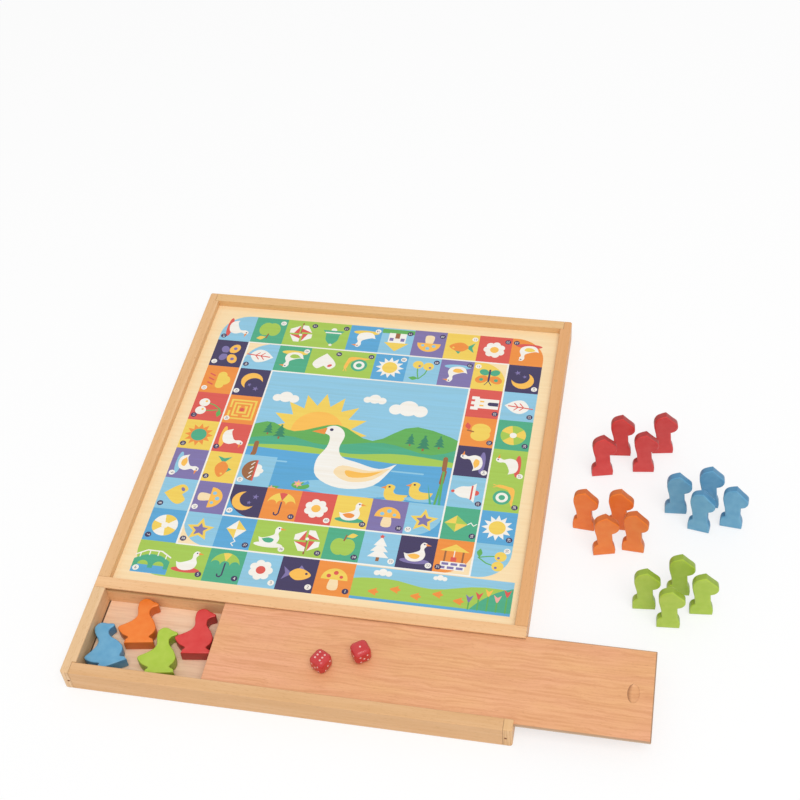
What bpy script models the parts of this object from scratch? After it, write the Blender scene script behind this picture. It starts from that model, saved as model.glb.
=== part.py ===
"""Goose and ludo game board: a double-sided wooden board with a compartment, a sliding lid and its pieces.

Run it with blender --background --python part.py, or from Blender's text editor. Lengths are in metres, and
+Z is up. The origin is on the underside of the middle rail, halfway along it. The printed field lies towards
+Y, the compartment towards -Y, and the lid slides out towards +X.
"""

import math

import bmesh
import bpy
from mathutils import Euler, Vector

# Driving sizes of the frame
BOARD_WIDTH = 0.285
FRAME_HEIGHT = 0.018
RAIL_WIDTH = 0.0082
MIDDLE_RAIL_WIDTH = 0.0082
CORNER_LAP = 0.0026  # the ends of the back and front rails are let in this far across the side rails
CORNER_CHEEK = 0.0022  # wood left in front of and behind a corner tenon
CORNER_WALL = 0.0026  # wood left above and below a corner tenon, next to the grooves
BRAD_RADIUS = 0.0008
BRAD_LENGTH = 0.018
DOWEL_RADIUS = 0.002
DOWEL_LENGTH = 0.024

# Driving sizes of the panels and the lid
PANEL_THICKNESS = 0.003
PANEL_RECESS = 0.0054  # from the rails' top down to the goose side
PANEL_GROOVE_DEPTH = 0.003
FLOOR_THICKNESS = 0.002
FLOOR_SETBACK = 0.001  # from the rails' underside up to the floor
FLOOR_GROOVE_DEPTH = 0.003
LID_THICKNESS = 0.002
LID_LIP = 0.002  # rail left above the lid
LID_GROOVE_DEPTH = 0.003
NOTCH_SETBACK = 0.0125  # thumb notch, from the lid's right end
NOTCH_LENGTH = 0.0135  # across the lid
NOTCH_WIDTH = 0.0075  # along the lid
NOTCH_DEPTH = 0.001

# Driving sizes of the pieces
GOOSE_HEIGHT = 0.0338
GOOSE_THICKNESS = 0.0085
HORSE_HEIGHT = 0.0385
HORSE_THICKNESS = 0.005
PIECE_EDGE = 0.0005
DIE_SIZE = 0.0114
DIE_EDGE = 0.003

# Clearances
JOINT_GAP = 0.0002  # between glued faces
HOLE_GAP = 0.00015  # around a brad or a dowel
PANEL_GAP = 0.00015  # above and below a panel in its groove
PANEL_EDGE_GAP = 0.0003  # beyond a panel's edge in its groove
HOLE_END_GAP = 0.0004  # beyond the end of a brad or a dowel
LID_GAP = 0.00015  # above and below the lid in its grooves
LID_EDGE_GAP = 0.0003  # beside the lid, and at its closed end
REST_GAP = 0.0003  # under a piece that rests on the board

# Where the geese lie in the compartment, from its front left corner, in thousandths of their height, and
# their turn
GOOSE_PLACES = {
    "blue": (608, 166, 32),
    "orange": (960, 700, 9),
    "green": (1540, 112, 10),
    "red": (2107, 622, 7),
}
GEESE_ROOM = (2405, 1710)  # space that they take up, in thousandths of their height

# Where the horses stand on the table, from the right-hand end of the middle rail, and their turn
HORSE_PLACES = {
    "red": ((0.0345, 0.150, 13), (0.0455, 0.170, 5), (0.0625, 0.157, 7), (0.0745, 0.176, 9)),
    "blue": ((0.0865, 0.123, 4), (0.1075, 0.131, 3), (0.1025, 0.110, -9), (0.1235, 0.116, -5)),
    "orange": ((0.0265, 0.101, -4), (0.0495, 0.104, 0), (0.0415, 0.082, 14), (0.0605, 0.087, -3)),
    "green": ((0.0705, 0.042, 5), (0.0915, 0.056, 4), (0.0865, 0.030, 4), (0.1065, 0.043, 5)),
}

# Where the dice lie on the lid, from the middle of its left end, and their turn
DIE_PLACES = {"die_1": (0.0731, -0.0084, 62), "die_2": (0.0962, 0.0018, 35)}

# Outlines of the cut-out pieces, in thousandths of their height: across, up, and whether it is a sharp corner
GOOSE_OUTLINE = (
    (-284, 0, True), (284, 0, True), (263, 80, True), (183, 136, False), (254, 225, False), (281, 337, False),
    (225, 485, False), (136, 615, False), (115, 722, False), (160, 793, False), (249, 828, False),
    (254, 882, False), (148, 935, False), (71, 988, False), (-24, 1000, False), (-112, 935, False),
    (-130, 799, False), (-112, 633, False), (-172, 527, False), (-302, 444, False), (-432, 379, False),
    (-438, 314, False), (-343, 201, False), (-225, 130, False), (-263, 80, True),
)
HORSE_OUTLINE = (
    (-188, 0, True), (188, 0, True), (190, 105, False), (170, 195, False), (138, 285, False),
    (127, 410, False), (112, 550, True), (178, 580, False), (223, 640, False), (232, 715, False),
    (207, 785, False), (113, 882, False), (6, 1000, True), (-71, 972, False), (-147, 925, False),
    (-190, 845, False), (-198, 735, False), (-175, 610, False), (-143, 470, False), (-122, 285, True),
    (-174, 235, False), (-196, 150, False),
)
CURVE_STEPS = 3
ROUND_PROFILE = 0.5  # a bevel of this profile is a quarter circle

# Colours as linear red, green, blue
BEECH = (0.62, 0.36, 0.16)
PLYWOOD = (0.66, 0.34, 0.17)
FLOOR_PLYWOOD = (0.58, 0.30, 0.18)
PRINT_GROUND = (0.90, 0.74, 0.46)
STEEL = (0.20, 0.16, 0.13)
PAINTS = {
    "red": (0.62, 0.04, 0.05),
    "blue": (0.14, 0.36, 0.62),
    "orange": (0.80, 0.20, 0.03),
    "green": (0.42, 0.58, 0.06),
}

# Places that follow from the sizes
half_width = BOARD_WIDTH / 2
inner_side = half_width - RAIL_WIDTH
field_depth = BOARD_WIDTH - 2 * RAIL_WIDTH  # the printed field is square
goose_room = Vector(GEESE_ROOM) * GOOSE_HEIGHT / 1000
compartment_depth = goose_room.y  # it takes two staggered rows of geese
middle_front = -MIDDLE_RAIL_WIDTH / 2
middle_back = MIDDLE_RAIL_WIDTH / 2
front_inner = middle_front - compartment_depth
front_outer = front_inner - RAIL_WIDTH
back_inner = middle_back + field_depth
back_outer = back_inner + RAIL_WIDTH
rail_middle = half_width - RAIL_WIDTH / 2

panel_top = FRAME_HEIGHT - PANEL_RECESS
panel_bottom = panel_top - PANEL_THICKNESS
floor_top = FLOOR_SETBACK + FLOOR_THICKNESS
lid_groove_top = FRAME_HEIGHT - LID_LIP
lid_top = lid_groove_top - LID_GAP
lid_bottom = lid_top - LID_THICKNESS
lid_groove_bottom = lid_bottom - LID_GAP
lid_front = front_inner - LID_GROOVE_DEPTH + LID_EDGE_GAP
lid_back = middle_front + LID_GROOVE_DEPTH - LID_EDGE_GAP
lid_left = -inner_side + goose_room.x  # drawn out far enough to lift the geese
lid_length = half_width + inner_side - LID_EDGE_GAP  # closed, it is flush with the right side

tenon_bottom = floor_top + PANEL_GAP + CORNER_WALL
tenon_top = lid_groove_bottom - CORNER_WALL
brad_height = (tenon_bottom + tenon_top) / 2
dowel_height = (floor_top + panel_bottom) / 2


def clear_scene():
    for old in list(bpy.data.objects):
        bpy.data.objects.remove(old, do_unlink=True)


def material(name, colour, roughness=0.5, metallic=0.0):
    made = bpy.data.materials.new(name)
    made.use_nodes = True
    shader = made.node_tree.nodes["Principled BSDF"]
    shader.inputs["Base Color"].default_value = (*colour, 1.0)
    shader.inputs["Roughness"].default_value = roughness
    shader.inputs["Metallic"].default_value = metallic
    return made


def object_of(name, bm, look=None, place=(0, 0, 0)):
    """A linked object made of a finished bmesh, placed at the given point."""
    bmesh.ops.recalc_face_normals(bm, faces=bm.faces)
    mesh = bpy.data.meshes.new(name)
    bm.to_mesh(mesh)
    bm.free()
    made = bpy.data.objects.new(name, mesh)
    made.location = place
    bpy.context.scene.collection.objects.link(made)
    if look:
        mesh.materials.append(look)
    return made


def box(name, low, high, look=None):
    """A box between two corners, with its origin at its middle."""
    low, high = Vector(low), Vector(high)
    bm = bmesh.new()
    bmesh.ops.create_cube(bm, size=1.0)
    bmesh.ops.scale(bm, vec=high - low, verts=bm.verts)
    return object_of(name, bm, look, (low + high) / 2)


def prism(name, outline, axis, low, high, look=None):
    """A flat outline in the two other directions, drawn out from low to high along the axis."""
    bm = bmesh.new()
    corners = []
    for first, second in outline:
        point = [first, second]
        point.insert(axis, low)
        corners.append(bm.verts.new(point))
    face = bm.faces.new(corners)
    drawn = bmesh.ops.extrude_face_region(bm, geom=[face])
    moved = [item for item in drawn["geom"] if isinstance(item, bmesh.types.BMVert)]
    step = Vector((0, 0, 0))
    step[axis] = high - low
    bmesh.ops.translate(bm, vec=step, verts=moved)
    return object_of(name, bm, look)


def rod(name, radius, start, end, look=None, sides=24):
    """A round rod along Y from start to end."""
    start, end = Vector(start), Vector(end)
    bm = bmesh.new()
    bmesh.ops.create_cone(
        bm, cap_ends=True, segments=sides, radius1=radius, radius2=radius, depth=(end - start).length
    )
    made = object_of(name, bm, look, (start + end) / 2)
    made.rotation_euler = (math.pi / 2, 0, 0)
    made.data.shade_smooth()
    made.data.set_sharp_from_angle(angle=math.radians(40))
    return made


def combine(target, tool, operation):
    """Joins the tool's shape to the target, or takes it out, and hides the tool."""
    tool.hide_render = True
    tool.display_type = "WIRE"
    change = target.modifiers.new(tool.name, "BOOLEAN")
    change.operation = operation
    change.solver = "EXACT"
    change.object = tool


def cut(target, cutter):
    combine(target, cutter, "DIFFERENCE")


def cut_box(target, purpose, low, high):
    cut(target, box(f"{target.name}_{purpose}", low, high))


def cut_rod(target, purpose, radius, start, end):
    cut(target, rod(f"{target.name}_{purpose}", radius, start, end))


def smooth_outline(points, height):
    """The points of a closed outline in metres, with curved stretches worked out between its corners."""
    outline = []
    flat = [Vector((across, up)) * height / 1000 for across, up, _ in points]
    for i, (_, _, sharp) in enumerate(points):
        after = (i + 1) % len(points)
        here, there = flat[i], flat[after]
        leave = there - here if sharp else (there - flat[i - 1]) / 2
        arrive = there - here if points[after][2] else (flat[(i + 2) % len(points)] - here) / 2
        steps = 1 if sharp and points[after][2] else CURVE_STEPS
        for k in range(steps):
            s = k / steps
            outline.append(
                here * (2 * s**3 - 3 * s**2 + 1)
                + leave * (s**3 - 2 * s**2 + s)
                + there * (3 * s**2 - 2 * s**3)
                + arrive * (s**3 - s**2)
            )
    return outline


def cut_out_piece(name, points, height, thickness, look):
    """A sawn and sanded piece: an upright outline in X and Z, with its origin at the middle of its base."""
    bm = bmesh.new()
    front = [bm.verts.new((p.x, -thickness / 2, p.y)) for p in smooth_outline(points, height)]
    face = bm.faces.new(front)
    drawn = bmesh.ops.extrude_face_region(bm, geom=[face])
    moved = [item for item in drawn["geom"] if isinstance(item, bmesh.types.BMVert)]
    bmesh.ops.translate(bm, vec=(0, thickness, 0), verts=moved)
    rim = [edge for edge in bm.edges if abs(edge.verts[0].co.y - edge.verts[1].co.y) < thickness / 2]
    bmesh.ops.bevel(bm, geom=rim, offset=PIECE_EDGE, segments=1, affect="EDGES", clamp_overlap=True)
    return object_of(name, bm, look)


def tenoned_rail(name, front, back, look):
    """A rail across the board, let into the side rails, with a tenon at each end that passes through them."""
    shoulder = inner_side + CORNER_LAP - JOINT_GAP
    rail = box(name, (-shoulder, front, 0), (shoulder, back, FRAME_HEIGHT), look)
    tenons = box(
        f"{name}_tenons",
        (-half_width, front + CORNER_CHEEK, tenon_bottom + JOINT_GAP),
        (half_width, back - CORNER_CHEEK, tenon_top - JOINT_GAP),
    )
    combine(rail, tenons, "UNION")
    return rail


def side_piece(name, side, outline, look):
    """A piece of a side rail: an outline in Y and Z, drawn out across the rail's width on one side."""
    low, high = sorted((side * inner_side, side * half_width))
    return prism(name, outline, 0, low, high, look)


def house_corner(rail, side, front, back):
    """Cuts the lap and the mortise for the end of a rail that lies between front and back."""
    near, far = sorted((side * (inner_side - RAIL_WIDTH), side * (inner_side + CORNER_LAP)))
    cut_box(
        rail,
        "lap",
        (near, front - JOINT_GAP, -RAIL_WIDTH),
        (far, back + JOINT_GAP, FRAME_HEIGHT + RAIL_WIDTH),
    )
    near, far = sorted((side * (inner_side - RAIL_WIDTH), side * (half_width + RAIL_WIDTH)))
    cut_box(
        rail,
        "mortise",
        (near, front + CORNER_CHEEK - JOINT_GAP, tenon_bottom),
        (far, back - CORNER_CHEEK + JOINT_GAP, tenon_top),
    )


def brad_line(side, face, inward):
    """Where a brad starts on the outer face of a corner, and where it ends."""
    start = Vector((side * rail_middle, face, brad_height))
    return start, start + Vector((0, inward * BRAD_LENGTH, 0))


def build_frame():
    """The seven beech rails, with their grooves, tenons and holes."""
    beech = {}
    for name in ("back_rail", "front_rail", "middle_rail", "left_field_rail", "right_field_rail",
                 "left_end_rail", "right_end_rail"):
        beech[name] = material(f"{name}_beech", BEECH, 0.45)

    back = tenoned_rail("back_rail", back_inner, back_outer, beech["back_rail"])
    front = tenoned_rail("front_rail", front_outer, front_inner, beech["front_rail"])
    middle = box(
        "middle_rail",
        (-half_width, middle_front, 0),
        (half_width, middle_back, FRAME_HEIGHT),
        beech["middle_rail"],
    )

    # Field rails house the back rail's ends
    field_start = middle_back + JOINT_GAP
    field_outline = (
        (field_start, 0), (back_outer, 0), (back_outer, FRAME_HEIGHT), (field_start, FRAME_HEIGHT)
    )
    field = {
        side: side_piece(name, side, field_outline, beech[name])
        for side, name in ((-1, "left_field_rail"), (1, "right_field_rail"))
    }

    # End rails house the front rail's ends. The right one is cut down for the lid, and its post carries on
    # the front rail's groove
    end_back = middle_front - JOINT_GAP
    post_back = front_inner - LID_GROOVE_DEPTH
    full_end = (
        (front_outer, 0), (end_back, 0), (end_back, FRAME_HEIGHT), (front_outer, FRAME_HEIGHT)
    )
    low_end = (
        (front_outer, 0), (end_back, 0), (end_back, lid_groove_bottom), (post_back, lid_groove_bottom),
        (post_back, lid_groove_top), (front_inner, lid_groove_top), (front_inner, FRAME_HEIGHT),
        (front_outer, FRAME_HEIGHT),
    )
    end = {
        -1: side_piece("left_end_rail", -1, full_end, beech["left_end_rail"]),
        1: side_piece("right_end_rail", 1, low_end, beech["right_end_rail"]),
    }
    for side in (-1, 1):
        house_corner(field[side], side, back_inner, back_outer)
        house_corner(end[side], side, front_outer, front_inner)

    # Groove for the printed panel, in the four field rails
    reach = inner_side + PANEL_GROOVE_DEPTH
    panel_low = panel_bottom - PANEL_GAP
    panel_high = panel_top + PANEL_GAP
    panel_back = back_inner + PANEL_GROOVE_DEPTH
    panel_front = middle_back - PANEL_GROOVE_DEPTH
    for rail in (back, middle, field[-1], field[1]):
        cut_box(rail, "panel_groove", (-reach, panel_front, panel_low), (reach, panel_back, panel_high))

    # Groove for the compartment's floor, in the four compartment rails
    reach = inner_side + FLOOR_GROOVE_DEPTH
    floor_front = front_inner - FLOOR_GROOVE_DEPTH
    floor_back = middle_front + FLOOR_GROOVE_DEPTH
    floor_low = FLOOR_SETBACK - PANEL_GAP
    floor_high = floor_top + PANEL_GAP
    for rail in (front, middle, end[-1], end[1]):
        cut_box(rail, "floor_groove", (-reach, floor_front, floor_low), (reach, floor_back, floor_high))

    # Grooves for the lid, open at the right
    past_end = half_width + LID_GROOVE_DEPTH
    groove_front = front_inner - LID_GROOVE_DEPTH
    groove_back = middle_front + LID_GROOVE_DEPTH
    for rail in (front, middle):
        cut_box(
            rail,
            "lid_groove",
            (-inner_side, groove_front, lid_groove_bottom),
            (past_end, groove_back, lid_groove_top),
        )

    # Holes for the brads and the dowels
    for side in (-1, 1):
        front_corner = (front, end[side], front_outer, 1)
        back_corner = (back, field[side], back_outer, -1)
        for rail, post, face, inward in (front_corner, back_corner):
            start, stop = brad_line(side, face, inward)
            start.y -= inward * RAIL_WIDTH / 2
            stop.y += inward * HOLE_END_GAP
            for piece in (rail, post):
                cut_rod(piece, f"brad_hole_{side}", BRAD_RADIUS + HOLE_GAP, start, stop)
        reach = Vector((0, DOWEL_LENGTH / 2 + HOLE_END_GAP, 0))
        centre = Vector((side * rail_middle, 0, dowel_height))
        for piece in (middle, field[side], end[side]):
            cut_rod(piece, f"dowel_hole_{side}", DOWEL_RADIUS + HOLE_GAP, centre - reach, centre + reach)


def build_fixings():
    """The steel brads through the corner tenons and the dowels through the middle rail."""
    for side, side_name in ((-1, "left"), (1, "right")):
        for place, face, inward in (("front", front_outer, 1), ("back", back_outer, -1)):
            name = f"brad_{place}_{side_name}"
            start, stop = brad_line(side, face, inward)
            rod(name, BRAD_RADIUS, start, stop, material(f"{name}_steel", STEEL, 0.4, 1.0))
        name = f"{side_name}_dowel"
        half_dowel = Vector((0, DOWEL_LENGTH / 2, 0))
        centre = Vector((side * rail_middle, 0, dowel_height))
        beech = material(f"{name}_beech", BEECH, 0.6)
        rod(name, DOWEL_RADIUS, centre - half_dowel, centre + half_dowel, beech)


def build_panels():
    """The printed panel and the compartment's floor, each loose in its groove by a small gap."""
    reach = inner_side + PANEL_GROOVE_DEPTH - PANEL_EDGE_GAP
    panel_back = back_inner + PANEL_GROOVE_DEPTH - PANEL_EDGE_GAP
    panel_front = middle_back - PANEL_GROOVE_DEPTH + PANEL_EDGE_GAP
    box(
        "board_panel",
        (-reach, panel_front, panel_bottom),
        (reach, panel_back, panel_top),
        material("board_panel_print", PRINT_GROUND, 0.4),
    )
    reach = inner_side + FLOOR_GROOVE_DEPTH - PANEL_EDGE_GAP
    floor_front = front_inner - FLOOR_GROOVE_DEPTH + PANEL_EDGE_GAP
    floor_back = middle_front + FLOOR_GROOVE_DEPTH - PANEL_EDGE_GAP
    box(
        "compartment_floor",
        (-reach, floor_front, FLOOR_SETBACK),
        (reach, floor_back, floor_top),
        material("compartment_floor_plywood", FLOOR_PLYWOOD, 0.55),
    )


def build_lid():
    """The plywood lid, drawn out to the right as photographed, with a thumb notch near its right end."""
    lid = box(
        "sliding_lid",
        (lid_left, lid_front, lid_bottom),
        (lid_left + lid_length, lid_back, lid_top),
        material("sliding_lid_plywood", PLYWOOD, 0.45),
    )
    bm = bmesh.new()
    bmesh.ops.create_uvsphere(bm, u_segments=32, v_segments=16, radius=1.0)
    bmesh.ops.scale(bm, vec=(NOTCH_WIDTH / 2, NOTCH_LENGTH / 2, NOTCH_DEPTH), verts=bm.verts)
    middle = (lid_left + lid_length - NOTCH_SETBACK, (lid_front + lid_back) / 2, lid_top)
    cut(lid, object_of("sliding_lid_thumb_notch", bm, None, middle))


def build_geese():
    """Four geese, lying flat on the compartment's floor."""
    corner = Vector((-inner_side, front_inner, floor_top + REST_GAP + GOOSE_THICKNESS / 2))
    for colour, (across, back, turn) in GOOSE_PLACES.items():
        name = f"goose_{colour}"
        paint = material(f"{name}_paint", PAINTS[colour], 0.35)
        goose = cut_out_piece(name, GOOSE_OUTLINE, GOOSE_HEIGHT, GOOSE_THICKNESS, paint)
        goose.location = corner + Vector((across, back, 0)) * GOOSE_HEIGHT / 1000
        goose.rotation_euler = Euler((-math.pi / 2, 0, math.radians(turn)))


def build_horses():
    """Four sets of four horses, standing on the table beside the board."""
    for colour, places in HORSE_PLACES.items():
        for number, (across, back, turn) in enumerate(places, start=1):
            name = f"horse_{colour}_{number}"
            paint = material(f"{name}_paint", PAINTS[colour], 0.35)
            horse = cut_out_piece(name, HORSE_OUTLINE, HORSE_HEIGHT, HORSE_THICKNESS, paint)
            horse.location = (half_width + across, back, 0)
            horse.rotation_euler = (0, 0, math.radians(turn))


def build_dice():
    """Two rounded dice, lying on the lid."""
    lid_middle = (lid_front + lid_back) / 2
    for name, (across, back, turn) in DIE_PLACES.items():
        bm = bmesh.new()
        bmesh.ops.create_cube(bm, size=DIE_SIZE)
        bmesh.ops.bevel(
            bm,
            geom=bm.edges[:],
            offset=DIE_EDGE,
            segments=4,
            profile=ROUND_PROFILE,
            affect="EDGES",
            clamp_overlap=True,
        )
        height = lid_top + REST_GAP + DIE_SIZE / 2
        paint = material(f"{name}_paint", PAINTS["red"], 0.3)
        die = object_of(name, bm, paint, (lid_left + across, lid_middle + back, height))
        die.rotation_euler = (0, 0, math.radians(turn))
        die.data.shade_smooth()


clear_scene()
build_frame()
build_fixings()
build_panels()
build_lid()
build_geese()
build_horses()
build_dice()
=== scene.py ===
from math import cos, pi, radians, sin, tau

import bmesh
import bpy
import numpy
from mathutils import Matrix, Vector
from mathutils.geometry import delaunay_2d_cdt


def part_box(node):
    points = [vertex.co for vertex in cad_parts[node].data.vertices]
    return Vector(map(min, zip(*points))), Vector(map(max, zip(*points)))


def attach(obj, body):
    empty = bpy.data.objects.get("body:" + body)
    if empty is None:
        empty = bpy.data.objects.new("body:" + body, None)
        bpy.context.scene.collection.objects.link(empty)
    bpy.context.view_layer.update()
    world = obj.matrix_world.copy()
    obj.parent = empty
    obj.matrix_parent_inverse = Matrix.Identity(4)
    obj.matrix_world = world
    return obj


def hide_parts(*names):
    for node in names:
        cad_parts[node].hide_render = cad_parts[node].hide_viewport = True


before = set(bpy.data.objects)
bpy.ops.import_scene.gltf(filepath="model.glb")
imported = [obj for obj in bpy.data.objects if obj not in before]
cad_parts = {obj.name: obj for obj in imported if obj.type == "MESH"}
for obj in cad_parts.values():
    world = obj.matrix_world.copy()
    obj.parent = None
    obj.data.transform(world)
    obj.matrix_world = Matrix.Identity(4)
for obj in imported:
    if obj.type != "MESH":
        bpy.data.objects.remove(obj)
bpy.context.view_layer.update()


# Frame rails
# Seven rails of solid beech, grooved on their inner sides and joined with laps, tenons, dowels and glue.
# The glued frame is sanded all round, so its outer edges are softly broken, then given a satin varnish.

MERGE_DISTANCE = 1e-6
NEAR = 1e-5  # what lies this close to a plane is on it
FLAT_ANGLE = radians(1)
ROUND_PROFILE = 0.5
CORNER_ROUNDING = 0.0016
CORNER_SEGMENTS = 6
RIM_ROUNDING = 0.0007
LIP_ROUNDING = 0.0009
RIM_SEGMENTS = 3
CORNER_SLANT = 0.01  # faces of a rounded corner look along X and Y by more than this
RAIL_OFFSET = 0.37  # each rail is cut from another part of the plank

# The way the grain runs in each rail, and the light and the dark tone of its wood
rails = {
    "back_rail": ("X", "EEC48D", "DDAD71"),
    "left_field_rail": ("Y", "EFC494", "DFAC74"),
    # This rail's tones are darker and redder than the others', partly the wood's own tone and partly painted
    # shade.
    "right_field_rail": ("Y", "EBB37C", "D99D62"),
    "middle_rail": ("X", "F5C795", "E6B079"),
    "left_end_rail": ("Y", "F0CBA0", "E0B684"),
    "right_end_rail": ("Y", "EBBF8C", "DAAA72"),
    "front_rail": ("X", "E6B887", "D5A26B"),
}
# Of these, the second is partly the sawn wood's own tone and partly painted shade deep in grooves and holes,
# and the third is painted shade along the lips' lower edges.
SANDED, SAWN_SHADED, SHADED_LIP = range(3)  # finishes of a rail's faces, in the order of its materials
board_low = Vector(map(min, *(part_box(rail)[0] for rail in rails)))
board_high = Vector(map(max, *(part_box(rail)[1] for rail in rails)))


def colour(code):
    """Linear red, green, blue and alpha of a colour written as six sRGB digits."""
    shares = [int(code[place : place + 2], 16) / 255 for place in (0, 2, 4)]
    linear = [share / 12.92 if share <= 0.04045 else ((share + 0.055) / 1.055) ** 2.4 for share in shares]
    return (*linear, 1)


def add_node(tree, kind, sockets=None, **settings):
    """Adds a shader node with its settings, and links its input sockets or sets their values."""
    node = tree.nodes.new("ShaderNode" + kind)
    for name, value in settings.items():
        setattr(node, name, value)
    for socket, value in (sockets or {}).items():
        if isinstance(value, bpy.types.NodeSocket):
            tree.links.new(value, node.inputs[socket])
        else:
            node.inputs[socket].default_value = value
    return node


def blended(tree, share, first, second, mode="MIX"):
    """The colour that lies between two others."""
    mix = add_node(tree, "Mix", {0: share, 6: first, 7: second}, data_type="RGBA", blend_type=mode)
    return mix.outputs[2]


def ranged(tree, value, low, high, least, most):
    """A value carried from one range into another, and kept inside it."""
    sockets = {"Value": value, "From Min": low, "From Max": high, "To Min": least, "To Max": most}
    return add_node(tree, "MapRange", sockets).outputs["Result"]


def worked_out(tree, operation, first, second=0):
    """The result of a sum with one or two values."""
    return add_node(tree, "Math", {0: first, 1: second}, operation=operation).outputs[0]


def place_on(tree):
    """Where a point of the surface lies."""
    return add_node(tree, "TexCoord").outputs["Object"]


def axes_of(tree, vector):
    """The shares of a vector along X, Y and Z."""
    return add_node(tree, "SeparateXYZ", {0: vector}).outputs


def facing_of(tree):
    """How far a surface faces along X, Y and Z."""
    return axes_of(tree, add_node(tree, "NewGeometry").outputs["Normal"])


def stretched_noise(tree, place, cycles, detail):
    """Noise with its own number of cycles to the metre along each axis."""
    scaled = add_node(tree, "VectorMath", {0: place, 1: cycles}, operation="MULTIPLY").outputs[0]
    sockets = {"Vector": scaled, "Scale": 1, "Detail": detail, "Roughness": 0.55}
    return add_node(tree, "TexNoise", sockets).outputs[0]


def effect(name, inputs, outputs):
    """An empty shader node group with its input and output nodes."""
    group = bpy.data.node_groups.new(name, "ShaderNodeTree")
    for direction, sockets in (("INPUT", inputs), ("OUTPUT", outputs)):
        for socket, kind in sockets.items():
            group.interface.new_socket(socket, in_out=direction, socket_type="NodeSocket" + kind)
    return group, group.nodes.new("NodeGroupInput"), group.nodes.new("NodeGroupOutput")


RING_CYCLES = (900, 900, 30)  # year rings stand upright in the rails' ends
timber_figure, given, made = effect(
    "timber_figure",
    {"Place": "Vector", "Sway": "Float"},
    {"Streaks": "Float", "Bands": "Float", "Flecks": "Float"},
)
wander = stretched_noise(timber_figure, given.outputs["Place"], (18, 34, 34), 2)
aside = worked_out(timber_figure, "SUBTRACT", wander, 0.5)
swung = worked_out(timber_figure, "MULTIPLY", aside, given.outputs["Sway"])
shift = add_node(timber_figure, "CombineXYZ", {"Y": swung, "Z": swung}).outputs[0]
moved = {0: given.outputs["Place"], 1: shift}
along_grain = add_node(timber_figure, "VectorMath", moved, operation="ADD").outputs[0]
streaks = stretched_noise(timber_figure, along_grain, (16, 520, 520), 4)
bands = stretched_noise(timber_figure, along_grain, (6, 85, 85), 3)
specks = stretched_noise(timber_figure, along_grain, (260, 2100, 2100), 1)
for output, noise, low, high in (
    ("Streaks", streaks, 0.3, 0.7),
    ("Bands", bands, 0.33, 0.67),
    ("Flecks", specks, 0.62, 0.72),
):
    timber_figure.links.new(ranged(timber_figure, noise, low, high, 0, 1), made.inputs[output])


def new_material(name):
    """A material with its node tree and its shader."""
    material = bpy.data.materials.new(name)
    material.use_nodes = True
    return material, material.node_tree, material.node_tree.nodes["Principled BSDF"]


def timber(tree, along, offset, fineness=(1, 1, 1), sway=0.003):
    """The figure of the wood, with its grain along X or Y and shifted to another part of the tree."""
    turn = (0, 0, 0 if along == "X" else radians(-90))
    shift = {"Vector": place_on(tree), "Location": offset, "Rotation": turn, "Scale": fineness}
    moved = add_node(tree, "Mapping", shift).outputs[0]
    return add_node(tree, "Group", {"Place": moved, "Sway": sway}, node_tree=timber_figure).outputs


def grained(tree, shader, tone, figure, smoothest, roughest, strength, depth):
    """Gives a shader its tone, and a gloss and a relief that follow the streaks of the wood."""
    tree.links.new(tone, shader.inputs["Base Color"])
    tree.links.new(ranged(tree, figure["Streaks"], 0, 1, smoothest, roughest), shader.inputs["Roughness"])
    bump = add_node(tree, "Bump", {"Height": figure["Streaks"], "Strength": strength, "Distance": depth})
    tree.links.new(bump.outputs["Normal"], shader.inputs["Normal"])


def tinted(tree, tone, code, most, value, low=0, high=1):
    """A tone with another colour over it, from none of it at a low value to the most at a high one."""
    return blended(tree, ranged(tree, value, low, high, 0, most), tone, colour(code))


GRAIN_CONTRAST = 0.6
FLECK_SHARE = 0.45
END_GRAIN_SHARE = 0.55


def wooden(name, along, offset, light, dark, fleck):
    """Varnished wood: streaks and bands between two tones, small darker flecks and open grain."""
    material, tree, shader = new_material(name)
    figure = timber(tree, along, offset)
    banded = tinted(tree, colour(light), dark, GRAIN_CONTRAST, figure["Bands"])
    streaked = tinted(tree, banded, dark, GRAIN_CONTRAST, figure["Streaks"])
    flecked = tinted(tree, streaked, fleck, FLECK_SHARE, figure["Flecks"])
    rings = stretched_noise(tree, place_on(tree), RING_CYCLES, 2)
    end_grain = tinted(tree, colour(light), fleck, 1, rings, 0.4, 0.6)
    end_face = worked_out(tree, "ABSOLUTE", facing_of(tree)[along])
    shown = blended(tree, ranged(tree, end_face, 0.6, 0.8, 0, END_GRAIN_SHARE), flecked, end_grain)
    grained(tree, shader, shown, figure, smoothest=0.42, roughest=0.56, strength=0.25, depth=0.00008)
    return material


def in_scene(name, data):
    """A new object with this data, put into the scene."""
    thing = bpy.data.objects.new(name, data)
    bpy.context.scene.collection.objects.link(thing)
    return thing


def add_piece(name, mesh, body, slot, material, *nodes):
    """Puts a finished mesh on its body in the place of its solids."""
    piece = in_scene(name, mesh)
    mesh.materials.append(material)
    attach(piece, body)
    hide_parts(*nodes)
    return piece


def sliced(solid, place, direction):
    """Cuts the faces of a solid along a plane, and leaves it whole."""
    whole = solid.verts[:] + solid.edges[:] + solid.faces[:]
    bmesh.ops.bisect_plane(solid, geom=whole, dist=NEAR, plane_co=place, plane_no=direction)


def copied_solid(node):
    """An editable copy of a solid, with its faces joined."""
    solid = bmesh.new()
    solid.from_mesh(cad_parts[node].data)
    bmesh.ops.remove_doubles(solid, verts=solid.verts, dist=MERGE_DISTANCE)
    return solid


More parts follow.
